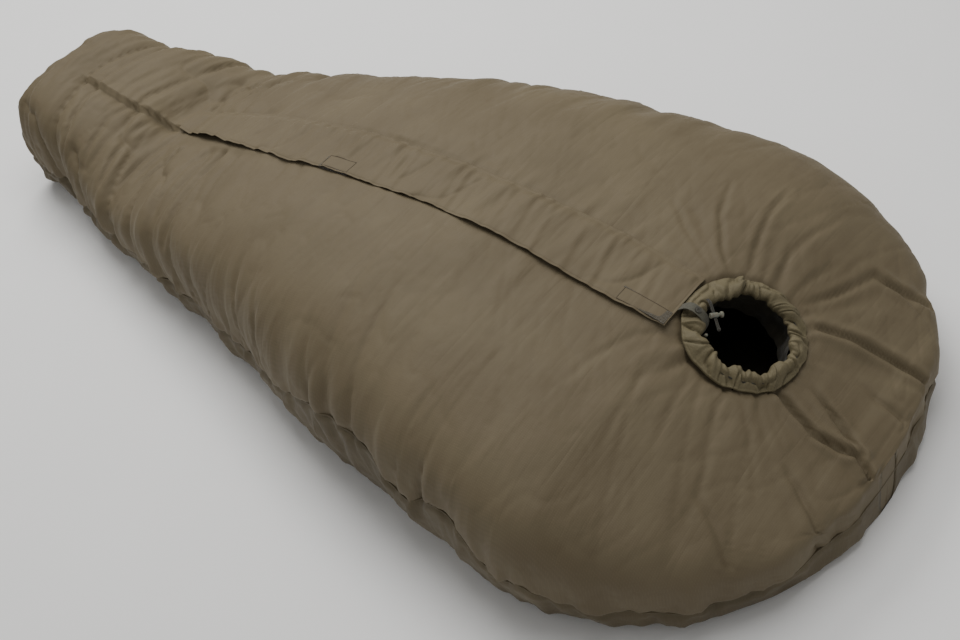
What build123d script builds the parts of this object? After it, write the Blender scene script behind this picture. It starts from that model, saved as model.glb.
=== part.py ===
from build123d import *
import math
import os

# Mummy sleeping bag, lying closed on a flat surface.
# Frame: +Z up, X across the bag, Y along it. The head end is at -Y and the
# foot end at +Y. The origin is the middle of the bottom of the bounding box.
# Units are millimetres. "s" is the distance from the head end: y = s - LENGTH/2.

# ---------------------------------------------------------------- dimensions
LENGTH = 2100.0          # overall length
SEAM_Z = 115.0           # level of the widest line of the cross-section
SHELL_T = 1.2            # outer fabric, with its folded seams
INS_GAP = 0.9            # clearance between the layers
INS_SIDE = 50.0          # insulation thickness at the sides
INS_TOP = 54.0           # insulation thickness over the body
INS_BASE = 37.0          # insulation thickness under the body
LINING_T = 1.2

# the ridge of the bag over the zip is one circular arc in the YZ plane
ARC_S = 837.3            # where the arc is highest, from the head end
ARC_Z = -1816.3          # its centre is far below the bag
ARC_R = 2174.46          # outer fabric's ridge radius

# s, half width, ridge height
STATIONS = [
    (0.0, 78.0, 119.0), (6.0, 104.0, 121.0), (16.0, 152.0, 126.0), (30.0, 206.0, 132.5),
    (50.0, 262.0, 142.0), (75.0, 312.0, 154.5), (105.0, 355.5, 170.0), (150.0, 402.6, 194.2),
    (205.0, 446.0, 224.6), (270.0, 479.0, 259.6), (330.0, 500.0, 289.0), (380.0, 511.0, None),
    (450.0, 516.2, None), (520.0, 508.5, None), (600.0, 497.1, None), (700.0, 483.5, None),
    (840.0, 462.0, None), (1000.0, 419.9, None), (1150.0, 376.2, None), (1300.0, 343.0, None),
    (1420.0, 318.5, None), (1540.0, 293.0, None), (1640.0, 273.0, None), (1700.0, 260.5, 206.5),
    (1760.0, 246.3, 222.5), (1830.0, 224.5, 243.5), (1900.0, 203.4, 256.8), (1970.0, 190.0, 268.0),
    (2030.0, 183.0, 274.5), (2062.0, 178.5, 268.0), (2082.0, 166.0, 246.0), (2094.0, 140.0, 207.0),
    (2100.0, 112.0, 170.0),
]
SECTION_P = 0.58         # roundness of the cross-section above the seam

# zip
ZIP_S0, ZIP_S1 = 384.0, 1666.0    # tapes
SLOT_W = 17.0                     # half width of the gap that holds the zip
SLIDER_S = 400.0                  # slider's middle, zip closed
SLIDER_END = 1642.0               # slider's middle, zip open
# storm flap over the zip
FLAP_S0, FLAP_S1 = 375.0, 1632.0
FLAP_SPLIT = 636.0                # the top of the flap lifts from here up
FLAP_X0, FLAP_X1 = -70.0, 60.0    # free edge and sewn edge
FLAP_T = 3.0
FLAP_RISE = 5.5                   # underside above the shell
# face opening
RING_X, RING_S, RING_Z = 16.0, 273.0, 267.0
RING_TILT = 26.5
RING_R, RING_T = 92.0, 16.0       # gathered channel, middle radius and tube radius
CORD_R = 1.3

os.makedirs("parts", exist_ok=True)


def arc_z(s, r=ARC_R):
    return ARC_Z + math.sqrt(r * r - (s - ARC_S) ** 2)


def arc_deg(s, r=ARC_R):
    return math.degrees(math.asin((s - ARC_S) / r))


def write(shape, name):
    if isinstance(shape, (list, tuple)):
        shape = Compound(children=list(shape)) if len(shape) > 1 else shape[0]
    shape.label = name
    export_step(shape, f"parts/{name}.step")
    print(name, round(shape.volume), flush=True)


# ------------------------------------------------------------- body of the bag
def at(s):
    """Half width and ridge height at s, by a monotone cubic through STATIONS."""
    pts = [(q, w, arc_z(q) if h is None else h) for q, w, h in STATIONS]
    for i in range(len(pts) - 1):
        if pts[i][0] <= s <= pts[i + 1][0]:
            break
    out = []
    for k in (1, 2):
        def slope(j):
            if j <= 0 or j >= len(pts) - 1:
                j0, j1 = (0, 1) if j <= 0 else (len(pts) - 2, len(pts) - 1)
                return (pts[j1][k] - pts[j0][k]) / (pts[j1][0] - pts[j0][0])
            m0 = (pts[j][k] - pts[j - 1][k]) / (pts[j][0] - pts[j - 1][0])
            m1 = (pts[j + 1][k] - pts[j][k]) / (pts[j + 1][0] - pts[j][0])
            return 0.0 if m0 * m1 <= 0 else 2 * m0 * m1 / (m0 + m1)
        h = pts[i + 1][0] - pts[i][0]
        t = (s - pts[i][0]) / h
        m0, m1 = slope(i) * h, slope(i + 1) * h
        out.append(pts[i][k] * (2 * t ** 3 - 3 * t * t + 1) + m0 * (t ** 3 - 2 * t * t + t)
                   + pts[i + 1][k] * (3 * t * t - 2 * t ** 3) + m1 * (t ** 3 - t * t))
    if STATIONS[i][2] is None and STATIONS[i + 1][2] is None:
        out[1] = arc_z(s)
    return out


COL_S0, COL_S1 = 470.0, 512.0     # draft collar
g = 0.3
d = SHELL_T + INS_GAP
e = INS_GAP


def cuts(s0, s1):
    """Stations used between s0 and s1, both ends included."""
    mid = [q for q, _, _ in STATIONS]
    mid += [(p + q) / 2 for p, q in zip(mid, mid[1:]) if q - p > 75]
    mid += [d + INS_SIDE + e, LENGTH - d - INS_SIDE - e, COL_S0, COL_S1]
    return [s0] + sorted(q for q in mid if s0 + 3 < q < s1 - 3) + [s1]


def top_pt(s, t, ins):
    """Point on the upper surface; t runs from 0 at +X to 180 at -X. ins = side, top, base insets."""
    a, h = at(s)
    side, top, base = ins
    c, q = math.cos(math.radians(t)), max(math.sin(math.radians(t)), 0.0)
    x = math.copysign(abs(c) ** SECTION_P, c) * a if abs(t - 90) > 1e-6 else 0.0
    z = SEAM_Z + (h - SEAM_Z) * q ** SECTION_P
    return (x * (a - side) / a, s - LENGTH / 2, base + z * (h - top - base) / h)


def t_of_x(s, x, ins):
    """The t where the upper surface is at this x."""
    a, h = at(s)
    u = max(-1.0, min(1.0, x / (a - ins[0])))
    c = math.copysign(abs(u) ** (1 / SECTION_P), u)
    return math.degrees(math.acos(c))


SPREAD = [0.0, 0.04, 0.11, 0.21, 0.33, 0.46, 0.60, 0.74, 0.88, 1.0]


def arc_pts(s, t0, t1, ins):
    """Points along the upper surface from t0 to t1, closer together near the widest line."""
    ks = SPREAD if t0 < 1e-6 else ([1 - k for k in SPREAD[::-1]] if t1 > 180 - 1e-6 else SPREAD)
    if t0 < 1e-6 and t1 > 180 - 1e-6:
        ks = [k / 2 for k in SPREAD] + [1 - k / 2 for k in SPREAD[-2::-1]]
    return [top_pt(s, t0 + (t1 - t0) * k, ins) for k in ks]


def upper_panel(s0, s1, x_hi, x_lo, o_ins, i_ins):
    """Part of a layer above the seam. It lies between x_hi(s) on the +X side and x_lo(s) on the -X side;
    None means down to the seam."""
    wires = []
    for s in cuts(s0, s1):
        rows = []
        for ins in (o_ins, i_ins):
            t0 = 0.0 if x_hi is None else t_of_x(s, x_hi(s), ins)
            t1 = 180.0 if x_lo is None else t_of_x(s, x_lo(s), ins)
            rows.append(arc_pts(s, t0, t1, ins))
        o, i = rows
        wires.append(Wire([Spline(*o), Line(o[-1], i[-1]), Spline(*i[::-1]), Line(i[0], o[0])]))
    return Solid.make_loft(wires, True)


def base_outline(s, ins):
    a, h = at(s)
    side, top, base = ins
    r = min(22.0, a * 0.4)
    kx, kz = (a - side) / a, (h - top - base) / h
    low = -0.4 if base == 0 else 0.0          # the outer tray is trimmed flat at z = 0
    pts = [(-a, SEAM_Z), (-a * 0.985, 20.0), (-a * 0.985 + r, low),
           (a * 0.985 - r, low), (a * 0.985, 20.0), (a, SEAM_Z)]
    return [(x * kx, s - LENGTH / 2, base + z * kz) for x, z in pts]


def base_panel(s0, s1, o_ins, i_ins):
    """Tray of a layer below the seam."""
    wires = []
    for s in cuts(s0, s1):
        o, i = base_outline(s, o_ins), base_outline(s, i_ins)
        drop = 0.6
        o = [(x, y, z - (drop if n in (0, 5) else 0)) for n, (x, y, z) in enumerate(o)]
        i = [(x, y, z - (drop if n in (0, 5) else 0)) for n, (x, y, z) in enumerate(i)]
        wires.append(Wire(Polyline(*(o + i[::-1]), close=True)))
    return Solid.make_loft(wires, True)


def plug(s0, s1, ins):
    """Full section of the space inside a layer, for the end walls."""
    wires = []
    for s in cuts(s0, s1):
        tp = arc_pts(s, 0.0, 180.0, ins)
        lo = base_outline(s, ins)
        wires.append(Wire([Spline(*tp)] + [Line(lo[n], lo[n + 1]) for n in range(5)]))
    return Solid.make_loft(wires, True)


t_in = (d + INS_SIDE, d + INS_TOP, d + INS_BASE)
L_SHELL = ((0.0, 0.0, 0.0), (SHELL_T,) * 3)
L_INS = ((d,) * 3, t_in)
L_LIN = (tuple(v + e for v in t_in), tuple(v + e + LINING_T for v in t_in))
HOOD_S = 381.0                    # hood panels end here, behind the face opening
FOOT_S = ZIP_S1 + 6.0             # foot box starts below the end of the zip


def crown_x(side_):
    x0, x1 = (-22.0, -48.0) if side_ < 0 else (112.0, 182.0)
    def f(s):
        x = x0 + (x1 - x0) * (RING_S - s) / RING_S * (1.0 if s < RING_S else 0.25)
        return min(x, at(s)[0] * 0.86)
    return f


# ---------------------------------------------------------------- face opening
ring_pl = Plane(origin=(RING_X, RING_S - LENGTH / 2, RING_Z), x_dir=(1, 0, 0),
                z_dir=(0, -math.sin(math.radians(RING_TILT)), math.cos(math.radians(RING_TILT))))


def rp(x, e_, n):
    """A point from the opening's own frame: x across, e towards the foot, n outwards."""
    return ring_pl.from_local_coords(Vector(x, e_, n))


def ring_dir(x, e_, n=0.0):
    return (rp(x, e_, n) - rp(0, 0, 0)).normalized()


env = ring_pl * Torus(RING_R, RING_T + 0.8)
bore = ring_pl * Pos(0, 0, -60) * Cylinder(RING_R - 12, 200)


def solids_of(shape):
    out = []
    if isinstance(shape, (list, tuple, ShapeList)):
        for s_ in shape:
            out += list(s_.solids())
        return out
    return list(shape.solids())


def biggest(shape, least=50.0):
    return [s_ for s_ in solids_of(shape) if s_.volume > least]


def shrink(f, by):
    return None if f is None else (lambda s: f(s) + by)


def ends(s0, s1, ins, thick):
    """End walls inside a layer."""
    m = tuple(v + (0.8 if thick < 5 else 2.0) for v in ins)
    return [plug(s0, s0 + thick, m), plug(s1 - thick, s1, m)]


# end limits of each layer, and the thickness of its end walls
SPAN = {"shell": (0.0, LENGTH, SHELL_T), "ins": (d, LENGTH - d, INS_SIDE),
        "lin": (d + INS_SIDE + e, LENGTH - d - INS_SIDE - e, LINING_T)}
names = {"shell": ("base_shell", "upper_shell_left", "upper_shell_right", "foot_shell"),
         "ins": ("insulation_base", "insulation_upper_left", "insulation_upper_right", "insulation_foot"),
         "lin": ("lining_base", "lining_upper_left", "lining_upper_right", "lining_foot")}
slot_hi = lambda s: SLOT_W
slot_lo = lambda s: -SLOT_W
for tag, (o_, i_) in (("shell", L_SHELL), ("ins", L_INS), ("lin", L_LIN)):
    s0, s1, th = SPAN[tag]
    base, left, right, foot = names[tag]
    tray = base_panel(s0, s1, o_, i_)
    if tag == "shell":
        tray = biggest(tray - Pos(0, 0, -50) * Box(2000, 3000, 100))[0]
    write([tray] + ends(s0, s1, i_, th), base)
    write(upper_panel(HOOD_S + g, FOOT_S - g, slot_lo, None, o_, i_), left)
    write(upper_panel(HOOD_S + g, FOOT_S - g, None, slot_hi, o_, i_), right)
    write(upper_panel(FOOT_S + g, s1, None, None, o_, i_), foot)
    if tag == "shell":
        for nm, hi, lo in (("hood_shell_left", shrink(crown_x(-1), -g), None),
                           ("hood_crown_panel", shrink(crown_x(1), -g), shrink(crown_x(-1), g)),
                           ("hood_shell_right", None, shrink(crown_x(1), g))):
            write(biggest(upper_panel(s0, HOOD_S - g, hi, lo, o_, i_) - env - bore), nm)
    elif tag == "ins":
        write(biggest(upper_panel(s0, HOOD_S - g, None, None, o_, i_) - env - bore), "insulation_hood")
    else:
        write(biggest(upper_panel(s0, HOOD_S - g, None, None, o_, i_) - bore), "lining_hood")

# channel, its drawcord, the stop bead and the cord lock
d_lock = Vector(0.785, -0.62, 0)
P0 = Vector(-31.5, 62.0, 21.5)            # back of the lock's body, in the opening's frame


def lock_plane(x):
    """Plane across the lock's own axis, x along the axis from the body's back."""
    o = P0 + d_lock * x
    return Plane(origin=rp(o.X, o.Y, o.Z), x_dir=ring_dir(0.62, 0.785), z_dir=ring_dir(d_lock.X, d_lock.Y))


# the twin strands cross the lock square to its axis
CORD_AT = 6.0
cross = P0 + d_lock * CORD_AT
c_dir = Vector(0.62, 0.785, 0)
strand_from = cross + c_dir * 24.0
strand_to = cross - c_dir * 24.0


def strand(off):
    """One strand: out of the channel's eyelet, then straight through the lock."""
    q = d_lock * off
    a_ = strand_from + q
    b_ = strand_to + q
    end = a_ + Vector(5.6, 7.1, -5.9)
    p = [rp(v.X, v.Y, v.Z) for v in (b_, a_, end)]
    path = FilletPolyline(*p, radius=8.0)
    prof = Plane(origin=p[0], z_dir=(p[1] - p[0]).normalized()) * Circle(CORD_R)
    return sweep(prof, path=path)


cord_ring = ring_pl * Torus(RING_R, CORD_R)
strands = [strand(-1.45), strand(1.45)]
print("strand", [round(v.volume, 1) for v in strands], flush=True)
knot_o = strand_to - c_dir * 2.2
knot = Plane(origin=rp(knot_o.X, knot_o.Y, knot_o.Z), z_dir=ring_dir(0.62, 0.785)) * Sphere(3.3)
write([biggest(cord_ring)[0]] + biggest(strands[0] + strands[1] + knot, 1.0), "face_drawcord")

channel = ring_pl * revolve(Plane.XZ * Pos(RING_R, 0) * (Circle(RING_T) - Circle(3.2)), Axis.Z)
write(biggest(channel, 50.0), "face_channel")
bead_v = Vector(-0.733, 0.68, 0)
bead_c = bead_v * 71.5
bead = Plane(origin=rp(bead_c.X, bead_c.Y, -1.0), z_dir=ring_dir(bead_v.X, bead_v.Y)) * (
    Sphere(3.3) + Pos(0, 0, 3.2) * Cylinder(1.2, 1.8))
write(biggest(bead, 1.0), "cord_stop_bead")
stud = Plane(origin=rp(-38.0, 84.0, 16.7), z_dir=ring_dir(0, 0, 1)) * (
    Cylinder(4.2, 1.0) + Pos(0, 0, 0.95) * Cylinder(1.2, 1.1))
write(biggest(stud, 1.0), "snap_stud")

# cord lock: barrel, sprung button, spring
body_len, body_back = 14.0, -2.0
lock_body = lock_plane(body_back + body_len / 2) * Cylinder(4.6, body_len)
lock_body = fillet(lock_body.edges().filter_by(GeomType.CIRCLE), 0.8)
lock_body = lock_body - lock_plane(body_back + body_len / 2 + 1.2) * Cylinder(3.3, body_len)
hole = lock_plane(CORD_AT) * Box(30, 3.2, 6.2)
lock_body = lock_body - hole
write(biggest(lock_body, 1.0), "face_lock_body")
button = lock_plane(3.6 + 6.5) * Cylinder(3.0, 13.0) + lock_plane(19.2) * fillet(Cylinder(5.3, 5.2).edges(), 1.4)
button = button - lock_plane(CORD_AT + 1.9) * Box(30, 3.0, 6.2 + 4.0 - 0.2)
write(biggest(button, 1.0), "face_lock_button")
sp_pl = lock_plane(-0.5)
hx = Helix(pitch=1.05, height=3.15, radius=2.3)
hs = sweep(Plane(origin=hx @ 0, z_dir=hx % 0) * Circle(0.22), path=hx)
spring = sp_pl * hs
write(biggest(spring, 0.1), "face_lock_spring")

# press-stud tab over the channel
TAB_X0, TAB_X1 = -46.0, -30.0
tab_path = [(115.6, -9.2), (112.8, -8.3), (109.5, -3.5), (105.5, 6.0), (98.5, 14.8), (84.0, 19.0), (70.0, 15.5), (61.5, 6.0),
            (57.8, -7.0), (56.5, -27.0)]


def offset_path(pts, t):
    out = []
    for i, (x_, y_) in enumerate(pts):
        x0, y0 = pts[max(i - 1, 0)]
        x1, y1 = pts[min(i + 1, len(pts) - 1)]
        l_ = math.hypot(x1 - x0, y1 - y0)
        out.append((x_ - (y1 - y0) / l_ * t, y_ + (x1 - x0) / l_ * t))
    return out


outer = offset_path(tab_path, -1.3)
rib = [(e_, n) for e_, n in tab_path] + outer[::-1]
fw = Face(Wire([Spline(*[rp(TAB_X0, e_, n) for e_, n in tab_path]),
                Line(rp(TAB_X0, *tab_path[-1]), rp(TAB_X0, *outer[-1])),
                Spline(*[rp(TAB_X0, e_, n) for e_, n in outer[::-1]]),
                Line(rp(TAB_X0, *outer[0]), rp(TAB_X0, *tab_path[0]))]))
tab = Solid.extrude(fw, Vector(TAB_X1 - TAB_X0, 0, 0))
cap_pl = Plane(origin=rp(-38.0, 84.3, 21.3), z_dir=ring_dir(0, 0, 1))
tab = tab - cap_pl * Cylinder(2.2, 12)
write(biggest(tab, 1.0), "snap_tab")
cap = cap_pl * (Cylinder(5.6, 2.0) - Pos(0, 0, 1.4) * Sphere(1.9) + Pos(0, 0, -1.9) * (Cylinder(2.0, 2.2) - Pos(0, 0, -0.2) * Cylinder(1.3, 3.2)))
write(biggest(cap, 1.0), "snap_cap")


# ----------------------------------------------------------------------- zip
AXIS = Axis((0, ARC_S - LENGTH / 2, ARC_Z), (-1, 0, 0))


def swept(x0, x1, r0, r1, s0, s1, fil=0.0):
    """A bar of section x0..x1 by r0..r1 above the arc, along it from s0 to s1."""
    a0, a1 = arc_deg(s0), arc_deg(s1)
    f = Plane.XZ * Pos((x0 + x1) / 2, (r0 + r1) / 2 + ARC_R) * (
        RectangleRounded(x1 - x0, r1 - r0, fil) if fil else Rectangle(x1 - x0, r1 - r0))
    f = Location((0, ARC_S - LENGTH / 2, ARC_Z)) * f
    f = f.rotate(AXIS, a0)
    return revolve(f, AXIS, a1 - a0)


def swept_poly(pts, s0, s1):
    a0, a1 = arc_deg(s0), arc_deg(s1)
    f = make_face(Polyline(*[(x, 0, r + ARC_R) for x, r in pts], close=True))
    f = Location((0, ARC_S - LENGTH / 2, ARC_Z)) * f
    f = f.rotate(AXIS, a0)
    return revolve(f, AXIS, a1 - a0)


write(swept(-15.5, -0.8, -6.0, -5.2, ZIP_S0, ZIP_S1), "zip_tape_left")
write(swept(0.8, 15.5, -6.0, -5.2, ZIP_S0, ZIP_S1), "zip_tape_right")
write(swept(-3.6, -0.8, -5.2, -2.8, ZIP_S0 + 6, ZIP_S1 - 14, 0.9), "zip_coil_left")
write(swept(0.8, 3.6, -5.2, -2.8, ZIP_S0 + 6, ZIP_S1 - 14, 0.9), "zip_coil_right")
write([swept(-4.2, -0.9, -5.1, -2.2, ZIP_S0 + 1, ZIP_S0 + 5, 0.5),
       swept(0.9, 4.2, -5.1, -2.2, ZIP_S0 + 1, ZIP_S0 + 5, 0.5)], "zip_top_stops")
write(swept(-4.6, 4.6, -5.1, -1.9, ZIP_S1 - 12, ZIP_S1 - 6, 0.8), "zip_bottom_stop")
write(swept(-15.8, 15.8, -70.0, -39.0, ZIP_S0 + 2, ZIP_S1 - 3, 10.0), "draft_tube")


def at_arc(s, r):
    """A frame on the arc at s: local X across, local Y towards the foot, local Z outwards."""
    t = math.radians(arc_deg(s))
    rr = ARC_R + r
    return Plane(origin=(0, ARC_S - LENGTH / 2 + rr * math.sin(t), ARC_Z + rr * math.cos(t)),
                 x_dir=(1, 0, 0), z_dir=(0, math.sin(t), math.cos(t)))


sl = at_arc(SLIDER_S, 0)
PIV = 0.9
plate = fillet(Box(9.6, 12.0, 1.4).edges().filter_by(Axis.Z), 2.4)
slider = Pos(0, 0, -1.7) * plate + Pos(0, 0, -7.2) * plate + Pos(0, -3.6, -4.4) * Box(0.9, 3.2, 4.6)
for sx in (-1, 1):
    slider += Pos(sx * 2.9, 0, -0.1) * Box(0.8, 2.2, 2.9)
    slider += Pos(sx * 2.9, 0, -8.8) * Box(0.8, 2.2, 2.9)
slider += Pos(0, 0, PIV) * Rotation(0, 90, 0) * Cylinder(0.55, 5.8)
slider += Pos(0, 0, -9.8) * Rotation(0, 90, 0) * Cylinder(0.55, 5.8)
write(biggest(sl * slider, 1.0), "zip_slider")


def pull(z):
    p = Pos(0, 0, z) * Rotation(0, 90, 0) * (Cylinder(1.35, 4.2) - Cylinder(0.65, 6))
    bar = Pos(0, 13.6, z) * fillet(Box(6.4, 20.8, 1.0).edges().filter_by(Axis.Z), 2.0)
    neck = Pos(0, 2.9, z) * Box(4.2, 3.8, 1.0)
    eye = Pos(0, 20.0, z) * Cylinder(1.5, 3)
    return (p + bar + neck) - eye - Pos(0, 0, z) * Rotation(0, 90, 0) * Cylinder(0.65, 6)


write(biggest(sl * pull(PIV), 1.0), "zip_pull_outer")
# the inner pull hangs straight down
hang = Plane(origin=sl.origin + sl.z_dir * -9.8) * Rotation(-90, 0, 0)
write(biggest(hang * pull(0), 1.0), "zip_pull_inner")

# ---------------------------------------------------------------- storm flap
F0, F1 = FLAP_RISE, FLAP_RISE + FLAP_T
flap_sec = [(FLAP_X0, F0), (44.0, F0), (FLAP_X1 - 7, 0.5), (FLAP_X1, 0.5), (FLAP_X1, 2.2), (46.0, F1), (FLAP_X0, F1)]
write(swept_poly(flap_sec, FLAP_SPLIT + 0.4, FLAP_S1), "storm_flap")
top_sec = [(FLAP_X0, F0), (44.0, F0), (51.0, 1.6), (55.0, 1.0), (57.6, 1.0), (57.6, 2.6), (46.0, F1), (FLAP_X0, F1)]
write(swept_poly(top_sec, FLAP_S0, FLAP_SPLIT - 0.4), "storm_flap_top")
write(swept(-69.0, -41.0, F0 - 1.7, F0 - 0.1, FLAP_S0 + 3, 472.0), "flap_hook_patch_top")
write(swept(-66.0, -34.0, F0 - 1.7, F0 - 0.1, 1086.0, 1164.0), "flap_hook_patch_lower")
write([swept(-69.0, -41.0, 0.5, 2.0, FLAP_S0 + 6, 470.0),
       swept(-66.0, -34.0, 0.5, 2.0, 1088.0, 1162.0)], "shell_loop_patches")

# -------------------------------------------------------------- draft collar
k = tuple(v + e + LINING_T + 0.8 for v in t_in)
k2 = (k[0] + 46, k[1] + 38, k[2] + 14)
write([upper_panel(COL_S0, COL_S1, slot_lo, None, k, k2), upper_panel(COL_S0, COL_S1, None, slot_hi, k, k2),
       base_panel(COL_S0, COL_S1, k, k2)], "draft_collar")
print("slider travel deg", arc_deg(SLIDER_END) - arc_deg(SLIDER_S))
for nm, pt in (("flap hinge a", at_arc(FLAP_S0, 5.6).origin), ("flap hinge b", at_arc(FLAP_SPLIT, 5.6).origin),
               ("tab hinge", rp(-38, 115.2, -8.6)), ("lock axis", ring_dir(0.785, -0.62)), ("lock slide", ring_dir(-0.62, -0.785)),
               ("pull outer", at_arc(SLIDER_S, PIV).origin), ("pull inner", at_arc(SLIDER_S, -9.8).origin)):
    print(nm, [round(v, 4) for v in pt])
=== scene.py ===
import bpy, bmesh, math
import numpy as np
from mathutils import Vector, Matrix


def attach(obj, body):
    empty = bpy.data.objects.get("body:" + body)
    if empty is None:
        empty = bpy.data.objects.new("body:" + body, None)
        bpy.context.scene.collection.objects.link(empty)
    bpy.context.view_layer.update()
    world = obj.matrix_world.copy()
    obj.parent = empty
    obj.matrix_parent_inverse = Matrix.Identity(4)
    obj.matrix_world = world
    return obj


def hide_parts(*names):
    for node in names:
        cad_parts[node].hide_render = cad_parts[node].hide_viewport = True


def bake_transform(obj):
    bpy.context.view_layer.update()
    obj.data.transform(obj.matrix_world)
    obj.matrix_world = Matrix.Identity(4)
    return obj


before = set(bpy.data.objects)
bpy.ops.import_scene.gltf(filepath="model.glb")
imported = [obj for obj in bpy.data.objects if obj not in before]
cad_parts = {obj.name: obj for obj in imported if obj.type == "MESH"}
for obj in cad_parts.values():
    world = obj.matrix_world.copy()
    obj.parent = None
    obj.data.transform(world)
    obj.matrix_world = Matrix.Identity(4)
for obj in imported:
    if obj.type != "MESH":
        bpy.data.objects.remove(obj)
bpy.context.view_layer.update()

# ------------------------------------------------------------------ shape data
L = 2.1
SEAM_Z = 0.115
ARC_S, ARC_Z, ARC_R = 0.8373, -1.8163, 2.17446
ST = [(0.0, 78.0, 119.0), (6.0, 104.0, 121.0), (16.0, 152.0, 126.0), (30.0, 206.0, 132.5),
      (50.0, 262.0, 142.0), (75.0, 312.0, 154.5), (105.0, 355.5, 170.0), (150.0, 402.6, 194.2),
      (205.0, 446.0, 224.6), (270.0, 479.0, 259.6), (330.0, 500.0, 289.0), (380.0, 511.0, None),
      (450.0, 516.2, None), (520.0, 508.5, None), (600.0, 497.1, None), (700.0, 483.5, None),
      (840.0, 462.0, None), (1000.0, 419.9, None), (1150.0, 376.2, None), (1300.0, 343.0, None),
      (1420.0, 318.5, None), (1540.0, 293.0, None), (1640.0, 273.0, None), (1700.0, 260.5, 206.5),
      (1760.0, 246.3, 222.5), (1830.0, 224.5, 243.5), (1900.0, 203.4, 256.8), (1970.0, 190.0, 268.0),
      (2030.0, 183.0, 274.5), (2062.0, 178.5, 268.0), (2082.0, 166.0, 246.0), (2094.0, 140.0, 207.0),
      (2100.0, 112.0, 170.0)]


def arc_z(s, r=ARC_R):
    return ARC_Z + np.sqrt(r * r - (np.asarray(s) - ARC_S) ** 2)


SS = np.array([q[0] for q in ST]) / 1000
AA = np.array([q[1] for q in ST]) / 1000
HH = np.array([q[2] / 1000 if q[2] else float(arc_z(q[0] / 1000)) for q in ST])


def pchip(x, xs, ys):
    """Monotone cubic through xs, ys at x."""
    x = np.asarray(x, float)
    h = np.diff(xs); dl = np.diff(ys) / h
    m = np.zeros(len(xs)); m[0], m[-1] = dl[0], dl[-1]
    a, b = dl[:-1], dl[1:]
    with np.errstate(all="ignore"):
        m[1:-1] = np.where(a * b <= 0, 0, 2 * a * b / np.where(a + b == 0, 1, a + b))
    i = np.clip(np.searchsorted(xs, x) - 1, 0, len(xs) - 2)
    t = (x - xs[i]) / h[i]
    return (ys[i] * (2 * t ** 3 - 3 * t * t + 1) + m[i] * h[i] * (t ** 3 - 2 * t * t + t)
            + ys[i + 1] * (3 * t * t - 2 * t ** 3) + m[i + 1] * h[i] * (t ** 3 - t * t))


def ridge(s):
    s = np.asarray(s, float)
    z = pchip(s, SS, HH)
    return np.where((s >= 0.38) & (s <= 1.64), arc_z(s), z)


def smooth(x, a, b):
    t = np.clip((x - a) / (b - a), 0, 1)
    return t * t * (3 - 2 * t)


def hash01(*k):
    h = np.zeros(k[0].shape, np.uint64)
    for v, p in zip(k, (73856093, 19349663, 83492791, 2654435761)):
        h ^= (v.astype(np.int64) + 100000).astype(np.uint64) * np.uint64(p)
        h = (h ^ (h >> np.uint64(13))) * np.uint64(1274126177)
        h &= np.uint64(0xFFFFFFFFFFFF)
    return ((h >> np.uint64(8)) & np.uint64(0xFFFF)).astype(float) / 65535.0


def noise(u, v, seed=0, w=None):
    """Smooth value noise from 0 to 1, on a unit lattice."""
    p = [np.asarray(u, float), np.asarray(v, float)]
    if w is not None:
        p.append(np.asarray(w, float))
    p = np.broadcast_arrays(*p)
    f = [np.floor(q) for q in p]
    r = [q - g for q, g in zip(p, f)]
    r = [q * q * q * (q * (q * 6 - 15) + 10) for q in r]
    out = 0
    n = len(p)
    sd = np.full(p[0].shape, seed)
    for c in range(2 ** n):
        w_ = 1.0
        k = []
        for d in range(n):
            b = (c >> d) & 1
            k.append(f[d] + b)
            w_ = w_ * (r[d] if b else 1 - r[d])
        out = out + w_ * hash01(*(k + [sd]))
    return out


def fbm(u, v, seed=0, octaves=3, w=None):
    a, t, out = 1.0, 0.0, 0.0
    for o in range(octaves):
        out = out + a * noise(u * 2 ** o + 17.3 * o, v * 2 ** o, seed + 11 * o, None if w is None else w * 2 ** o)
        t += a
        a *= 0.5
    return out / t


def ridged(u, v, seed=0, power=2.0):
    """1 along the creases of a noise field, falling off to 0."""
    n = noise(u, v, seed)
    return (1 - np.abs(2 * n - 1)) ** power


def polyline_dist(u, v, pts):
    """Distance to a polyline in (u, v) and the parameter along it."""
    best = np.full(u.shape, 1e9); par = np.zeros(u.shape)
    n = len(pts) - 1
    for i in range(n):
        (a, b), (c, d) = pts[i], pts[i + 1]
        l2 = (c - a) ** 2 + (d - b) ** 2
        t = np.clip(((u - a) * (c - a) + (v - b) * (d - b)) / l2, 0, 1)
        q = np.hypot(u - (a + t * (c - a)), v - (b + t * (d - b)))
        k = q < best
        best = np.where(k, q, best); par = np.where(k, (i + t) / n, par)
    return best, par


def crease(u, v, pts, width, depth, fade=(0.15, 0.25), lip=0.45):
    """A valley with soft lips along a polyline; negative is inwards."""
    box = 4 * width
    us, vs = [p[0] for p in pts], [p[1] for p in pts]
    m = (u > min(us) - box) & (u < max(us) + box) & (v > min(vs) - box) & (v < max(vs) + box)
    out = np.zeros(u.shape)
    if not m.any():
        return out
    q, t = polyline_dist(u[m], v[m], pts)
    e = np.clip(t / max(fade[0], 1e-3), 0, 1) * np.clip((1 - t) / max(fade[1], 1e-3), 0, 1)
    e = np.sqrt(e)
    out[m] = depth * e * (-np.exp(-(q / (0.42 * width)) ** 2) + lip * np.exp(-((q - 1.05 * width) / (0.75 * width)) ** 2))
    return out


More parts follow.
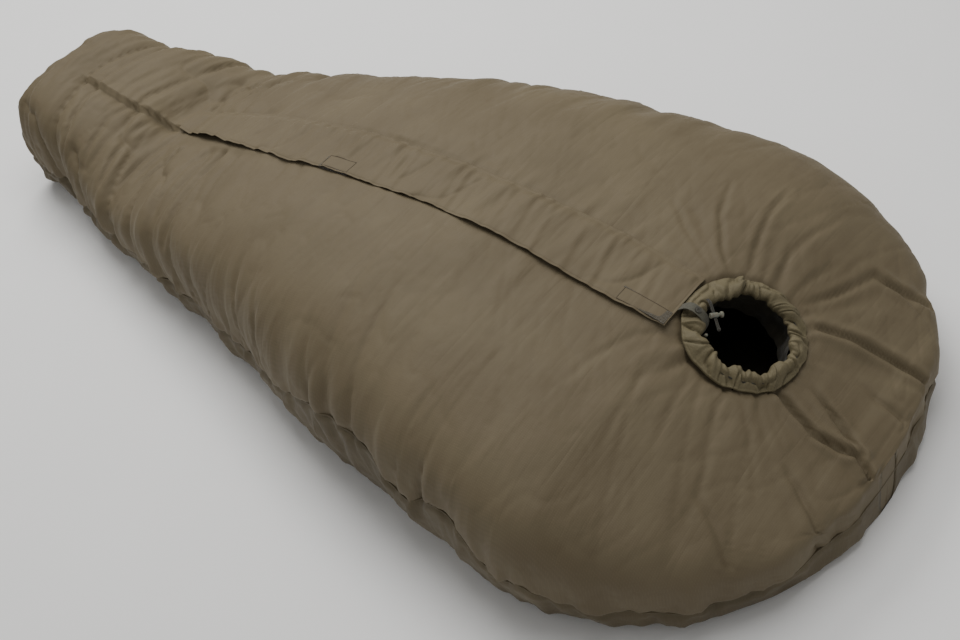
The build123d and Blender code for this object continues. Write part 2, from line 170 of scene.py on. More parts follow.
# ------------------------------------------------------------------- the camera
CAM = dict(az=-44.9092, el=45.3181, roll=-11.3572, t=(-0.0323, -0.3651, 0.1432), d=2.6386, f=1431.01, cx=62.52, cy=-5.17)
az, el, ro = (math.radians(CAM[k]) for k in ("az", "el", "roll"))
back = Vector((math.sin(az) * math.cos(el), -math.cos(az) * math.cos(el), math.sin(el)))
fwd = -back
rt = fwd.cross(Vector((0, 0, 1))).normalized()
up = rt.cross(fwd)
r2 = rt * math.cos(ro) + up * math.sin(ro)
u2 = -rt * math.sin(ro) + up * math.cos(ro)
eye = Vector(CAM["t"]) + back * CAM["d"]
cam_data = bpy.data.cameras.new("camera")
cam_data.sensor_width = 36
cam_data.lens = CAM["f"] / 960 * 36
cam_data.shift_x = -CAM["cx"] / 960
cam_data.shift_y = CAM["cy"] / 960
cam = bpy.data.objects.new("camera", cam_data)
m = Matrix((r2, u2, back)).transposed().to_4x4()
m.translation = eye
cam.matrix_world = m
bpy.context.scene.collection.objects.link(cam)
bpy.context.scene.camera = cam


# ------------------------------------------------------------------- materials
def srgb(r, g, b):
    f = lambda c: (c / 255 / 12.92) if c <= 10 else ((c / 255 + 0.055) / 1.055) ** 2.4
    return (f(r), f(g), f(b), 1.0)


def nodes_of(name):
    mt = bpy.data.materials.new(name)
    mt.use_nodes = True
    nt = mt.node_tree
    return mt, nt, nt.nodes["Principled BSDF"]


def mk(nt, kind, **kw):
    n = nt.nodes.new(kind)
    for k, v in kw.items():
        if k.startswith("i_"):
            key = k[2:].replace("_", " ")
            n.inputs[key].default_value = v
        else:
            setattr(n, k, v)
    return n


def fabric(name, base, dark, light, weave=900.0, weave_h=0.25, crumple=0.5, rough=0.5, sheen=0.25, tint=None,
           crumple_scale=38.0, spec=0.35, fine=130.0, streak=0.0):
    """Woven nylon: two thread directions, soft crumple and slow colour drift."""
    mt, nt, bs = nodes_of(name)
    lk = nt.links.new
    co = mk(nt, "ShaderNodeTexCoord")
    n1 = mk(nt, "ShaderNodeTexNoise", i_Scale=5.5, i_Detail=4.0, i_Roughness=0.55)
    lk(co.outputs["Object"], n1.inputs["Vector"])
    ramp = mk(nt, "ShaderNodeValToRGB")
    ramp.color_ramp.elements[0].position = 0.30
    ramp.color_ramp.elements[0].color = dark
    ramp.color_ramp.elements[1].position = 0.72
    ramp.color_ramp.elements[1].color = light
    mid = ramp.color_ramp.elements.new(0.5)
    mid.color = base
    lk(n1.outputs["Fac"], ramp.inputs["Fac"])
    # threads
    w1 = mk(nt, "ShaderNodeTexWave", i_Scale=weave / 10, i_Distortion=0.6, i_Detail=1.0)
    w1.bands_direction = "X"
    w2 = mk(nt, "ShaderNodeTexWave", i_Scale=weave / 10, i_Distortion=0.6, i_Detail=1.0)
    w2.bands_direction = "Y"
    lk(co.outputs["Object"], w1.inputs["Vector"])
    lk(co.outputs["Object"], w2.inputs["Vector"])
    mx = mk(nt, "ShaderNodeMath", operation="MULTIPLY")
    lk(w1.outputs["Fac"], mx.inputs[0])
    lk(w2.outputs["Fac"], mx.inputs[1])
    n2 = mk(nt, "ShaderNodeTexNoise", i_Scale=crumple_scale, i_Detail=5.0, i_Roughness=0.6, i_Distortion=0.8)
    lk(co.outputs["Object"], n2.inputs["Vector"])
    n3 = mk(nt, "ShaderNodeTexNoise", i_Scale=fine, i_Detail=3.0, i_Roughness=0.5)
    lk(co.outputs["Object"], n3.inputs["Vector"])
    b1 = mk(nt, "ShaderNodeBump", i_Strength=weave_h, i_Distance=0.0002)
    lk(mx.outputs[0], b1.inputs["Height"])
    b2 = mk(nt, "ShaderNodeBump", i_Strength=crumple, i_Distance=0.004)
    lk(n2.outputs["Fac"], b2.inputs["Height"])
    lk(b1.outputs["Normal"], b2.inputs["Normal"])
    b3 = mk(nt, "ShaderNodeBump", i_Strength=crumple * 0.6, i_Distance=0.0012)
    lk(n3.outputs["Fac"], b3.inputs["Height"])
    lk(b2.outputs["Normal"], b3.inputs["Normal"])
    last = b3
    if streak:
        # long, narrow pull lines across the length
        for sx, sy, dist_, st_, rot in ((3.2, 30.0, 0.0060, streak, 0.10), (6.5, 62.0, 0.0026, streak * 0.8, -0.16)):
            mp = mk(nt, "ShaderNodeMapping")
            mp.inputs["Scale"].default_value = (sx, sy, sx)
            mp.inputs["Rotation"].default_value = (0, 0, rot)
            lk(co.outputs["Object"], mp.inputs["Vector"])
            nn = mk(nt, "ShaderNodeTexNoise", i_Scale=1.0, i_Detail=1.5, i_Roughness=0.45, i_Distortion=0.35)
            lk(mp.outputs["Vector"], nn.inputs["Vector"])
            sb = mk(nt, "ShaderNodeMath", operation="SUBTRACT")
            sb.inputs[1].default_value = 0.5
            lk(nn.outputs["Fac"], sb.inputs[0])
            ab = mk(nt, "ShaderNodeMath", operation="ABSOLUTE")
            lk(sb.outputs[0], ab.inputs[0])
            pw = mk(nt, "ShaderNodeMath", operation="POWER")
            pw.inputs[1].default_value = 0.75
            lk(ab.outputs[0], pw.inputs[0])
            bb = mk(nt, "ShaderNodeBump", i_Strength=st_, i_Distance=dist_)
            lk(pw.outputs[0], bb.inputs["Height"])
            lk(last.outputs["Normal"], bb.inputs["Normal"])
            last = bb
    lk(last.outputs["Normal"], bs.inputs["Normal"])
    # thread colour
    mixc = mk(nt, "ShaderNodeMix", data_type="RGBA", blend_type="MULTIPLY")
    mixc.inputs[0].default_value = 0.10
    lk(ramp.outputs["Color"], mixc.inputs[6])
    lk(mx.outputs[0], mixc.inputs[7])
    lk(mixc.outputs[2], bs.inputs["Base Color"])
    rr = mk(nt, "ShaderNodeMapRange")
    rr.inputs["To Min"].default_value = rough - 0.06
    rr.inputs["To Max"].default_value = rough + 0.10
    lk(n2.outputs["Fac"], rr.inputs["Value"])
    lk(rr.outputs["Result"], bs.inputs["Roughness"])
    bs.inputs["Sheen Weight"].default_value = sheen
    bs.inputs["Sheen Roughness"].default_value = 0.45
    if tint:
        bs.inputs["Sheen Tint"].default_value = tint
    bs.inputs["Specular IOR Level"].default_value = spec
    return mt


def plain(name, c0, c1, scale, rough=(0.4, 0.55), metal=0.0, bump=0.15, dist=0.0005, spec=0.5, trans=0.0, sss=0.0):
    """Moulded or metal finish with fine grain, and lighter worn spots."""
    mt, nt, bs = nodes_of(name)
    lk = nt.links.new
    co = mk(nt, "ShaderNodeTexCoord")
    n1 = mk(nt, "ShaderNodeTexNoise", i_Scale=scale, i_Detail=6.0, i_Roughness=0.6)
    lk(co.outputs["Object"], n1.inputs["Vector"])
    ramp = mk(nt, "ShaderNodeValToRGB")
    ramp.color_ramp.elements[0].position = 0.35
    ramp.color_ramp.elements[0].color = c0
    ramp.color_ramp.elements[1].position = 0.7
    ramp.color_ramp.elements[1].color = c1
    lk(n1.outputs["Fac"], ramp.inputs["Fac"])
    lk(ramp.outputs["Color"], bs.inputs["Base Color"])
    rr = mk(nt, "ShaderNodeMapRange")
    rr.inputs["To Min"].default_value = rough[0]
    rr.inputs["To Max"].default_value = rough[1]
    lk(n1.outputs["Fac"], rr.inputs["Value"])
    lk(rr.outputs["Result"], bs.inputs["Roughness"])
    b = mk(nt, "ShaderNodeBump", i_Strength=bump, i_Distance=dist)
    lk(n1.outputs["Fac"], b.inputs["Height"])
    lk(b.outputs["Normal"], bs.inputs["Normal"])
    bs.inputs["Metallic"].default_value = metal
    bs.inputs["Specular IOR Level"].default_value = spec
    if sss:
        bs.inputs["Subsurface Weight"].default_value = sss
        bs.inputs["Subsurface Scale"].default_value = 0.003
    return mt


M = {}
M["shell"] = fabric("shell_nylon", srgb(106, 95, 74), srgb(101, 90, 69), srgb(111, 100, 78), streak=0.30, rough=0.64, sheen=0.06,
                    tint=srgb(205, 195, 165), crumple=0.17, weave_h=0.12, spec=0.22)
M["channel"] = fabric("channel_nylon", srgb(111, 102, 77), srgb(96, 88, 66), srgb(120, 111, 86), rough=0.62, sheen=0.06,
                      tint=srgb(200, 190, 165), crumple=0.5, crumple_scale=70, weave_h=0.12, spec=0.25)
# the base strip's nylon is the shell nylon made darker: painted shade on the strip that rolls under to the floor
M["base"] = fabric("base_nylon_painted_shade", srgb(98, 88, 68), srgb(88, 79, 60), srgb(106, 96, 74), streak=0.35, rough=0.66, sheen=0.05, crumple=0.3, weave_h=0.12, spec=0.22)
M["lining"] = fabric("lining_nylon", srgb(62, 58, 47), srgb(52, 49, 39), srgb(72, 68, 55), rough=0.6, sheen=0.10, crumple=0.5)
M["collar"] = fabric("collar_nylon", srgb(66, 63, 54), srgb(56, 54, 46), srgb(76, 72, 62), rough=0.5, sheen=0.15, crumple=0.5)
M["batting"] = fabric("batting", srgb(215, 213, 206), srgb(200, 198, 190), srgb(226, 224, 218), weave=200, rough=0.9, sheen=0.4,
                      crumple=1.0, crumple_scale=120)
M["webbing"] = fabric("webbing", srgb(80, 78, 65), srgb(66, 64, 53), srgb(92, 90, 76), weave=5200, weave_h=0.8, rough=0.6,
                      sheen=0.2, crumple=0.3)
M["tape"] = fabric("zip_tape", srgb(92, 86, 72), srgb(80, 75, 62), srgb(104, 98, 84), weave=5200, weave_h=0.8, rough=0.7, sheen=0.15)
M["hook"] = fabric("hook_loop", srgb(84, 76, 58), srgb(70, 63, 48), srgb(98, 90, 70), weave=4200, weave_h=1.0, rough=0.9, sheen=0.4,
                   crumple=0.9, crumple_scale=500)
M["cord"] = fabric("cord", srgb(54, 51, 42), srgb(42, 39, 32), srgb(68, 64, 54), weave=9000, weave_h=1.0, rough=0.75, sheen=0.2)
M["thread"] = fabric("thread", srgb(86, 75, 58), srgb(78, 68, 52), srgb(96, 84, 66), weave=9000, rough=0.7, sheen=0.1)
M["plastic"] = plain("lock_plastic", srgb(104, 102, 90), srgb(124, 122, 108), 160, rough=(0.22, 0.38), spec=0.5, sss=0.15)
M["coil"] = plain("zip_coil", srgb(62, 58, 48), srgb(84, 79, 66), 900, rough=(0.35, 0.5), bump=0.4)
M["zinc"] = plain("zip_metal", srgb(70, 68, 62), srgb(120, 116, 106), 700, rough=(0.3, 0.5), metal=0.8)
M["snap"] = plain("snap_metal", srgb(58, 57, 52), srgb(104, 102, 94), 700, rough=(0.3, 0.5), metal=0.7)
M["steel"] = plain("spring_steel", srgb(150, 150, 150), srgb(190, 190, 190), 900, rough=(0.25, 0.4), metal=1.0)
M["floor"] = plain("floor", srgb(248, 248, 247), srgb(250, 250, 249), 3, rough=(0.7, 0.8), bump=0.02, spec=0.2)


def new_object(name, verts, faces, mat, smooth_shade=True):
    me = bpy.data.meshes.new(name)
    me.from_pydata([tuple(v) for v in np.asarray(verts).tolist()], [], faces if isinstance(faces, list) else faces.tolist())
    me.validate()
    me.update()
    if smooth_shade:
        me.polygons.foreach_set("use_smooth", [True] * len(me.polygons))
    ob = bpy.data.objects.new(name, me)
    bpy.context.scene.collection.objects.link(ob)
    if mat:
        me.materials.append(mat)
    return ob


def grid_faces(nr, nc, close_r=False, close_c=False, flip=False):
    r = np.arange(nr if close_r else nr - 1)[:, None]
    c = np.arange(nc if close_c else nc - 1)[None, :]
    r1, c1 = (r + 1) % nr, (c + 1) % nc
    a, b, d, e = r * nc + c, r * nc + c1, r1 * nc + c1, r1 * nc + c
    f = np.stack([a, e, d, b] if flip else [a, b, d, e], -1)
    return f.reshape(-1, 4)


def part_of(V, F, keep, extra=None):
    """Only the faces marked in keep, with their vertices renumbered."""
    f = F[keep]
    used, inv = np.unique(f.ravel(), return_inverse=True)
    return V[used], inv.reshape(f.shape)


# ---------------------------------------------------------- the outer surface
RC = np.array([0.016, 0.273 - L / 2, 0.267])
TB = math.radians(26.5)
RE = np.array([0, math.cos(TB), math.sin(TB)])
RN = np.array([0, -math.sin(TB), math.cos(TB)])


def ring_xyz(x, e, n):
    x, e, n = np.broadcast_arrays(x, e, n)
    return RC + x[..., None] * np.array([1.0, 0, 0]) + e[..., None] * RE + n[..., None] * RN


def ring_local(P):
    q = P - RC
    return q[..., 0], q @ RE, q @ RN


SEAM_S = np.array([-0.1, 0.0, 0.06, 0.15, 0.25, 0.33, 0.37, 0.41, 0.455, 0.50, 0.56, 0.62, 0.66, 0.70, 0.75, 0.82, 0.90, 0.975,
                   1.06, 1.15, 1.30, 1.50, 1.70, 1.90, 2.1, 2.2])
SEAM_N = np.array([.072, .072, .066, .066, .074, .104, .132, .112, .128, .178, .186, .150, .150, .196, .210, .204, .180, .150,
                   .132, .112, .102, .095, .092, .090, .088, .088])
SEAM_F = np.array([.072, .072, .082, .086, .086, .095, .105, .112, .120, .125, .128, .130, .132, .134, .136, .138, .134, .126,
                   .120, .112, .102, .095, .092, .090, .088, .088])


def half_section(a, h, side):
    """Half outline from the middle of the bottom up to the ridge, as x (positive) and z."""
    zb = np.linspace(0, 1, 40)
    # below the widest line: rolls in to the floor like a filled edge
    z1 = SEAM_Z * zb
    x1 = a * (1 - 0.072 * (1 - zb) ** 1.35) - min(0.030, a * 0.25) * np.clip(1 - z1 / 0.034, 0, 1) ** 2.2
    t = np.radians(90 * (1 - np.cos(np.linspace(0, 1, 260) * math.pi / 2)))[1:]
    t = np.radians(90) * np.linspace(0, 1, 300)[1:] ** 1.25
    x2 = a * np.cos(t) ** 0.58
    z2 = SEAM_Z + (h - SEAM_Z) * np.sin(t) ** 0.58
    x2[-1] = 0
    x = np.r_[0, x1, x2]
    z = np.r_[0, z1, z2]
    return x, z


NB, NW, NF = 7, 118, 22            # bottom, side and top, and the strip beside the ridge
W_FIX = np.r_[0.0, 0.0085, 0.0105, 0.013, 0.0165, 0.021, np.linspace(0.026, 0.105, NF - 6)]


def stations():
    a = 0.5 * (1 - np.cos(np.linspace(0, math.pi / 2, 46))) * 2 * 0.16
    b = np.arange(0.16, 1.98, 0.0052)[1:]
    c = 2.1 - (0.5 * (1 - np.cos(np.linspace(0, math.pi / 2, 40))) * 2 * 0.12)[::-1]
    return np.r_[a[1:], b, c[:-1]]


S = stations()
S[0] = 0.0016
S[-1] = 2.0992
A_ = pchip(S, SS, AA)
# the head end is round in plan
A_ = np.where(S < 0.016, np.minimum(A_, 1.22 * np.sqrt(np.clip(S, 0, None) * 0.98)), A_)
H_ = ridge(S)
rows = []
for a, h in zip(A_, H_):
    x, z = half_section(a, h, 1)
    ds = np.r_[0, np.cumsum(np.hypot(np.diff(x), np.diff(z)))]
    tot = ds[-1]
    ib = 1                                        # first point on the side
    side0 = ds[ib]
    top_len = tot - side0
    k = min(1.0, (top_len / 0.30))
    wf = W_FIX * k
    rest = np.linspace(0, 1, NW)
    pos = np.r_[np.linspace(0, side0, NB)[:-1], side0 + rest * (top_len - wf[-1]), (tot - wf[::-1])[1:]]
    rows.append(np.stack([np.interp(pos, ds, x), np.interp(pos, ds, z), tot - pos], -1))
R = np.array(rows)                                # s, j, (x, z, w)
NH = R.shape[1]
right, left = R, R[:, ::-1][:, 1:]                # +X half from the bottom up, then the -X half down
G = np.concatenate([right, left * np.array([-1, 1, -1])], 1)
NS, NC = G.shape[:2]
P0 = np.stack([G[..., 0], np.repeat(S[:, None] - L / 2, NC, 1), G[..., 1]], -1)
Wc = G[..., 2]                                    # signed length from the ridge
Sg = np.repeat(S[:, None], NC, 1)


def normals_of(P, close_c=True):
    du = np.gradient(P, axis=0)
    if close_c:
        dv = (np.roll(P, -1, 1) - np.roll(P, 1, 1)) / 2
    else:
        dv = np.gradient(P, axis=1)
    n = np.cross(du, dv)
    return n / np.maximum(np.linalg.norm(n, axis=-1, keepdims=True), 1e-12)


N0 = normals_of(P0)
if N0[NS // 2, NC // 2, 2] < 0:
    N0 = -N0


def folds(P, s, w, N):
    """Every fold of the outer fabric, as a displacement along the normal, in metres."""
    x, y, z = P[..., 0], P[..., 1], P[..., 2]
    d = np.zeros(x.shape)
    seam_z = np.where(x < 0, np.interp(s, SEAM_S, SEAM_N), np.interp(s, SEAM_S, SEAM_F))
    above = z - seam_z
    near = smooth(-x, 0.0, 0.15)
    upper = smooth(z, 0.02, 0.07)
    # slow, filled unevenness
    d += 0.015 * (fbm(x / 0.30, s / 0.34, 3, 2, z / 0.30) - 0.5)
    d += 0.0060 * (fbm(x / 0.11, s / 0.12, 5, 2, z / 0.11) - 0.5) * upper
    # soft folds that run down the sides to the seam
    sl = s + 0.10 * np.abs(w) + 0.035 * (noise(s / 0.16, w / 0.22, 21) - 0.5)
    fall = smooth(np.abs(w), 0.10, 0.42)
    body_ = smooth(s, 0.42, 0.60) * (1 - smooth(s, 1.78, 1.95))
    n1 = noise(sl / 0.062, w / 0.75, 31)
    n2 = noise(sl / 0.030, w / 0.34, 33)
    d += 0.0085 * (n1 - 0.5) * fall * body_
    d += 0.0072 * (n2 - 0.5) * smooth(np.abs(w), 0.16, 0.46) * body_
    cr = ridged((s + 0.22 * np.abs(w)) / 0.075, w / 0.5, 37, 5.0)
    d -= 0.0060 * cr * fall * body_ * smooth(noise(s / 0.20, w / 0.25, 38), 0.35, 0.7)
    # gathers on both sides of the side seam
    g = np.exp(-(above / 0.055) ** 2)
    d += 0.0085 * (noise((s + 0.2 * above) / 0.0165, above / 0.12, 41) - 0.5) * g
    d += 0.0100 * (noise((s - 0.15 * above) / 0.033, above / 0.22, 43) - 0.5) * np.exp(-(above / 0.11) ** 2)
    d -= 0.0050 * np.exp(-(above / 0.0065) ** 2) * smooth(z, 0.012, 0.04)
    # base strip: short, deep gathers
    bs_ = smooth(-above, 0.003, 0.02)
    d += 0.0085 * (noise(s / 0.024, z / 0.09, 47) - 0.5) * bs_ * smooth(z, 0.004, 0.03)
    d += 0.0040 * (noise(s / 0.011, z / 0.05, 48) - 0.5) * bs_ * smooth(z, 0.004, 0.03)
    # gathers along the flap's sewn line and under its free edge
    q = np.abs(w - 0.058)
    zone = smooth(s, 0.36, 0.42) * (1 - smooth(s, 1.62, 1.72))
    d += 0.0060 * (noise((s + 0.2 * w) / 0.018, w / 0.30, 51) - 0.5) * np.exp(-(q / 0.050) ** 2) * zone * smooth(w, 0.02, 0.05)
    d -= 0.0030 * np.exp(-((w - 0.0600) / 0.0045) ** 2) * zone
    d += 0.0052 * (noise(s / 0.034, w / 0.40, 53) - 0.5) * np.exp(-((w + 0.10) / 0.085) ** 2) * zone * smooth(-w, 0.06, 0.10)
    # the far side carries longer, finer folds away from the flap
    d += 0.0045 * (noise(s / 0.045, w / 0.42, 55) - 0.5) * smooth(w, 0.06, 0.14) * (1 - smooth(w, 0.32, 0.5)) * zone
    # folds that run out from the face opening
    lx, le, ln = ring_local(P)
    r = np.hypot(lx, le)
    ph = np.arctan2(le, lx)
    rr = np.exp(-np.clip(r - 0.10, 0, None) / 0.085) * smooth(r, 0.085, 0.11) * smooth(z, 0.13, 0.18)
    cph, sph = np.cos(ph), np.sin(ph)
    wob = 0.8 * (noise(r / 0.08, ph * 1.3, 61) - 0.5)
    n3 = noise(cph * 5.2 + wob, sph * 5.2, 63, r / 0.35)
    n4 = noise(cph * 10.5 + wob, sph * 10.5, 65, r / 0.22)
    d += (0.0085 * (n3 - 0.5) + 0.0080 * (n4 - 0.5)) * rr
    d -= 0.0040 * (1 - np.abs(2 * noise(cph * 9 + wob, sph * 9, 69, r / 0.3) - 1)) ** 6 * np.exp(-np.clip(r - 0.10, 0, None) / 0.055) * smooth(r, 0.10, 0.115) * smooth(z, 0.13, 0.18)
    d -= 0.0065 * np.exp(-((r - 0.1075) / 0.006) ** 2) * smooth(z, 0.13, 0.18)
    d += 0.0052 * (noise(cph * 18 + wob, sph * 18, 68, r / 0.12) - 0.5) * np.exp(-np.clip(r - 0.10, 0, None) / 0.040) * smooth(r, 0.10, 0.115) * smooth(z, 0.13, 0.18)
    far_r = np.exp(-np.clip(r - 0.10, 0, None) / 0.24) * smooth(r, 0.12, 0.20) * smooth(z, 0.13, 0.18)
    d += 0.0085 * (noise(cph * 4.0, sph * 4.0, 67, r / 0.6) - 0.5) * far_r
    # named creases, in s and x
    sw = s + 0.006 * (noise(s / 0.075, x / 0.075, 85) - 0.5) + 0.002 * (noise(s / 0.022, x / 0.022, 86) - 0.5)
    xw = x + 0.006 * (noise(s / 0.075, x / 0.075, 87) - 0.5) + 0.002 * (noise(s / 0.022, x / 0.022, 88) - 0.5)
    soft = 0.62 + 0.5 * noise(s / 0.09, x / 0.09, 89)
    C = lambda pts, wd, dp, **k: crease(sw, xw, pts, wd, dp * 0.68, **k) * soft
    up_ = smooth(z, 0.09, 0.13)
    hk = C([(0.192, -0.026), (0.150, -0.040), (0.108, -0.050), (0.070, -0.042), (0.043, -0.034), (0.020, -0.042), (0.006, -0.050)], 0.013, 0.0230, fade=(0.05, 0.02))
    hk = hk + C([(0.150, 0.020), (0.105, 0.004), (0.060, -0.016), (0.030, -0.030)], 0.013, 0.0150, fade=(0.3, 0.1))
    hk = hk + C([(0.205, 0.118), (0.150, 0.146), (0.083, 0.168), (0.040, 0.176), (0.016, 0.180)], 0.013, 0.0160, fade=(0.05, 0.02))
    hk = hk + C([(0.120, -0.130), (0.080, -0.150), (0.045, -0.170), (0.026, -0.185)], 0.014, 0.0090, fade=(0.3, 0.02))
    hk = hk + C([(0.110, 0.085), (0.060, 0.080), (0.014, 0.082)], 0.013, 0.0080, fade=(0.4, 0.02))
    hk = hk + C([(0.190, -0.270), (0.140, -0.300), (0.100, -0.330)], 0.014, 0.0085, fade=(0.3, 0.02))
    hk = hk + C([(0.181, 0.290), (0.130, 0.305), (0.090, 0.320)], 0.014, 0.0120, fade=(0.3, 0.02))
    d += hk * smooth(z, 0.055, 0.085)
    k = 0
    k = k + 0 * C([(0.192, -0.026), (0.150, -0.040), (0.108, -0.052), (0.070, -0.042), (0.043, -0.034)], 0.012, 0.0190, fade=(0.05, 0.12))
    k = k + 0 * C([(0.205, 0.118), (0.150, 0.146), (0.083, 0.168), (0.040, 0.176)], 0.013, 0.0150, fade=(0.05, 0.12))
    k = k + C([(0.236, 0.142), (0.205, 0.22), (0.181, 0.30), (0.13, 0.30), (0.081, 0.285)], 0.012, 0.0075)
    k = k + C([(0.290, 0.128), (0.300, 0.20), (0.296, 0.28), (0.28, 0.36)], 0.011, 0.0050)
    k = k + C([(0.330, 0.112), (0.350, 0.17), (0.368, 0.25), (0.372, 0.34)], 0.011, 0.0053)
    k = k + C([(0.352, 0.088), (0.392, 0.13), (0.432, 0.19), (0.462, 0.28)], 0.010, 0.0053)
    k = k + C([(0.366, 0.070), (0.415, 0.100), (0.470, 0.135), (0.525, 0.18)], 0.010, 0.0043)
    k = k + C([(0.262, 0.132), (0.255, 0.19), (0.235, 0.27)], 0.010, 0.0034)
    k = k + C([(0.345, -0.085), (0.352, -0.15), (0.350, -0.24), (0.335, -0.33)], 0.013, 0.0030)
    k = k + C([(0.368, -0.060), (0.40, -0.10), (0.43, -0.17), (0.45, -0.26)], 0.013, 0.0032)
    k = k + C([(0.300, -0.098), (0.292, -0.17), (0.275, -0.26)], 0.011, 0.0027)
    k = k + C([(0.262, -0.094), (0.235, -0.15), (0.205, -0.22), (0.18, -0.29)], 0.012, 0.0032)
    k = k + C([(0.232, -0.075), (0.190, -0.12), (0.150, -0.17), (0.118, -0.22)], 0.012, 0.0030)
    k = k + C([(0.212, -0.05), (0.165, -0.085), (0.120, -0.115)], 0.010, 0.0023)
    # creases of the legs and the foot
    k = k + C([(1.462, -0.060), (1.455, -0.13), (1.440, -0.20), (1.425, -0.27), (1.418, -0.31)], 0.017, 0.0130, fade=(0.06, 0.2))
    k = k + C([(1.500, -0.052), (1.512, -0.12), (1.510, -0.19), (1.495, -0.26)], 0.014, 0.0085)
    k = k + C([(1.405, -0.075), (1.395, -0.15), (1.372, -0.23)], 0.015, 0.0070)
    k = k + C([(1.585, -0.045), (1.600, -0.11), (1.612, -0.18), (1.605, -0.25)], 0.017, 0.0110)
    k = k + C([(1.655, -0.020), (1.668, -0.09), (1.675, -0.16), (1.668, -0.24)], 0.019, 0.0125)
    k = k + C([(1.735, -0.035), (1.742, -0.10), (1.730, -0.17), (1.712, -0.23)], 0.015, 0.0085)
    k = k + C([(1.800, -0.045), (1.806, -0.10), (1.795, -0.16), (1.780, -0.21)], 0.013, 0.0070)
    k = k + C([(1.905, -0.020), (1.902, -0.065), (1.885, -0.125), (1.866, -0.175), (1.858, -0.205)], 0.014, 0.0120, fade=(0.05, 0.15))
    k = k + C([(1.655, 0.060), (1.668, 0.12), (1.672, 0.19)], 0.019, 0.0110)
    k = k + C([(1.560, 0.065), (1.572, 0.13), (1.570, 0.20)], 0.017, 0.0080)
    k = k + C([(1.905, -0.020), (1.905, 0.06), (1.890, 0.14), (1.872, 0.19)], 0.014, 0.0095, fade=(0.05, 0.15))
    # closed seam in line with the zip, down to the foot end
    ls_ = np.array([1.600, 1.640, 1.711, 1.760, 1.814, 1.880, 1.957])
    lx_ = np.interp(s, ls_, [-.014, -.012, -.021, -.031, -.040, -.037, -.033]) + 0.006 * (noise(s / 0.035, s * 0, 77) - 0.5)
    on = smooth(s, 1.640, 1.668) * (1 - smooth(s, 1.925, 1.975)) * smooth(z, 0.12, 0.15)
    q_ = x - lx_
    over = np.where(q_ > 0, np.exp(-q_ / 0.050) * smooth(q_, -0.001, 0.004) * 0.0100, -0.0065 * np.exp(-(q_ / 0.020) ** 2))
    d += over * on
    d += k * up_
    fine = smooth(noise(s / 0.22, w / 0.30, 141), 0.40, 0.75)
    d -= 0.0022 * ridged((s + 0.30 * np.abs(w)) / 0.048, w / 0.42, 143, 10.0) * fine * upper
    d += 0.0014 * ridged((s - 0.25 * np.abs(w)) / 0.040, w / 0.36, 145, 10.0) * (1 - fine) * upper
    # foot box: creases across
    ft = smooth(s, 1.36, 1.50) * (1 - smooth(s, 2.03, 2.09))
    d += 0.0130 * (noise((s + 0.18 * np.abs(w)) / 0.046, w / 0.55, 71) - 0.5) * ft * smooth(z, 0.03, 0.08)
    d += 0.0100 * (noise((s + 0.22 * np.abs(w)) / 0.022, w / 0.36, 72) - 0.5) * ft * smooth(z, 0.03, 0.08)
    d += 0.0044 * (noise((s + 0.16 * np.abs(w)) / 0.0125, w / 0.24, 74) - 0.5) * ft * smooth(z, 0.03, 0.08)
    d -= 0.0085 * ridged((s + 0.2 * np.abs(w)) / 0.055, w / 0.34, 73, 9.0) * ft * smooth(z, 0.03, 0.08)
    lg = smooth(s, 0.95, 1.45) * (1 - smooth(s, 1.80, 1.95)) * smooth(z, 0.05, 0.10)
    d += 0.0060 * (noise((s + 0.16 * np.abs(w)) / 0.040, w / 0.30, 131) - 0.5) * lg
    d -= 0.0055 * ridged((s + 0.20 * np.abs(w)) / 0.080, w / 0.36, 133, 9.0) * lg
    # lower near side: sharper folds that start at the seam
    nz = np.exp(-np.clip(above, 0, None) / 0.085) * smooth(above, 0.0, 0.010)
    d += 0.0080 * (noise((s + 0.10 * above) / 0.046, above / 0.35, 135) - 0.5) * nz
    d -= 0.0100 * ridged((s + 0.15 * above) / 0.062, above / 0.30, 137, 9.0) * nz * smooth(noise(s / 0.12, s * 0, 138), 0.3, 0.6)
    # end of the foot box: gathers round its edge
    ed = smooth(s, 1.99, 2.05) * (1 - smooth(s, 2.085, 2.1))
    d += 0.0050 * (noise(w / 0.022, s / 0.08, 75) - 0.5) * ed
    # round the head end: gathers that run up from the seam
    hd = 1 - smooth(s, 0.10, 0.24)
    ang = np.arctan2(x, (0.30 - s))
    d += 0.0100 * (noise(ang * 13.0, z / 0.14, 81) - 0.5) * hd * np.exp(-((z - 0.075) / 0.07) ** 2)
    d += 0.0060 * (noise(ang * 27.0, z / 0.10, 82) - 0.5) * hd * np.exp(-((z - 0.065) / 0.045) ** 2)
    d += 0.0130 * (noise(ang * 5.5, z / 0.30, 83) - 0.5) * hd * smooth(z, 0.03, 0.07)
    # small, sharp wrinkles all over, sparse
    sp = smooth(noise(x / 0.16, s / 0.16, 91, z / 0.2), 0.50, 0.75)
    d -= 0.0016 * ridged((s + 0.4 * w) / 0.033, (w - 0.3 * s) / 0.10, 93, 7.0) * sp * upper
    d -= 0.0014 * ridged((s - 0.6 * w) / 0.028, (w + 0.5 * s) / 0.09, 95, 7.0) * (1 - sp) * upper
    # nothing moves in the strip under the flap, or on the floor
    strip = smooth(np.abs(w + 0.004), 0.052, 0.072)
    zone = smooth(s, 0.372, 0.39) * (1 - smooth(s, 1.64, 1.69))
    d = d * (1 - zone * (1 - strip))
    d -= 0.0012 * zone * (1 - strip)
    d = d * smooth(s, 0.0016, 0.0075) * (0.15 + 0.85 * (1 - smooth(s, 2.088, 2.0985)))
    d = d * smooth(z, 0.001, 0.02)
    return d


D0 = folds(P0, Sg, Wc, N0)
P1 = P0 + N0 * D0[..., None]
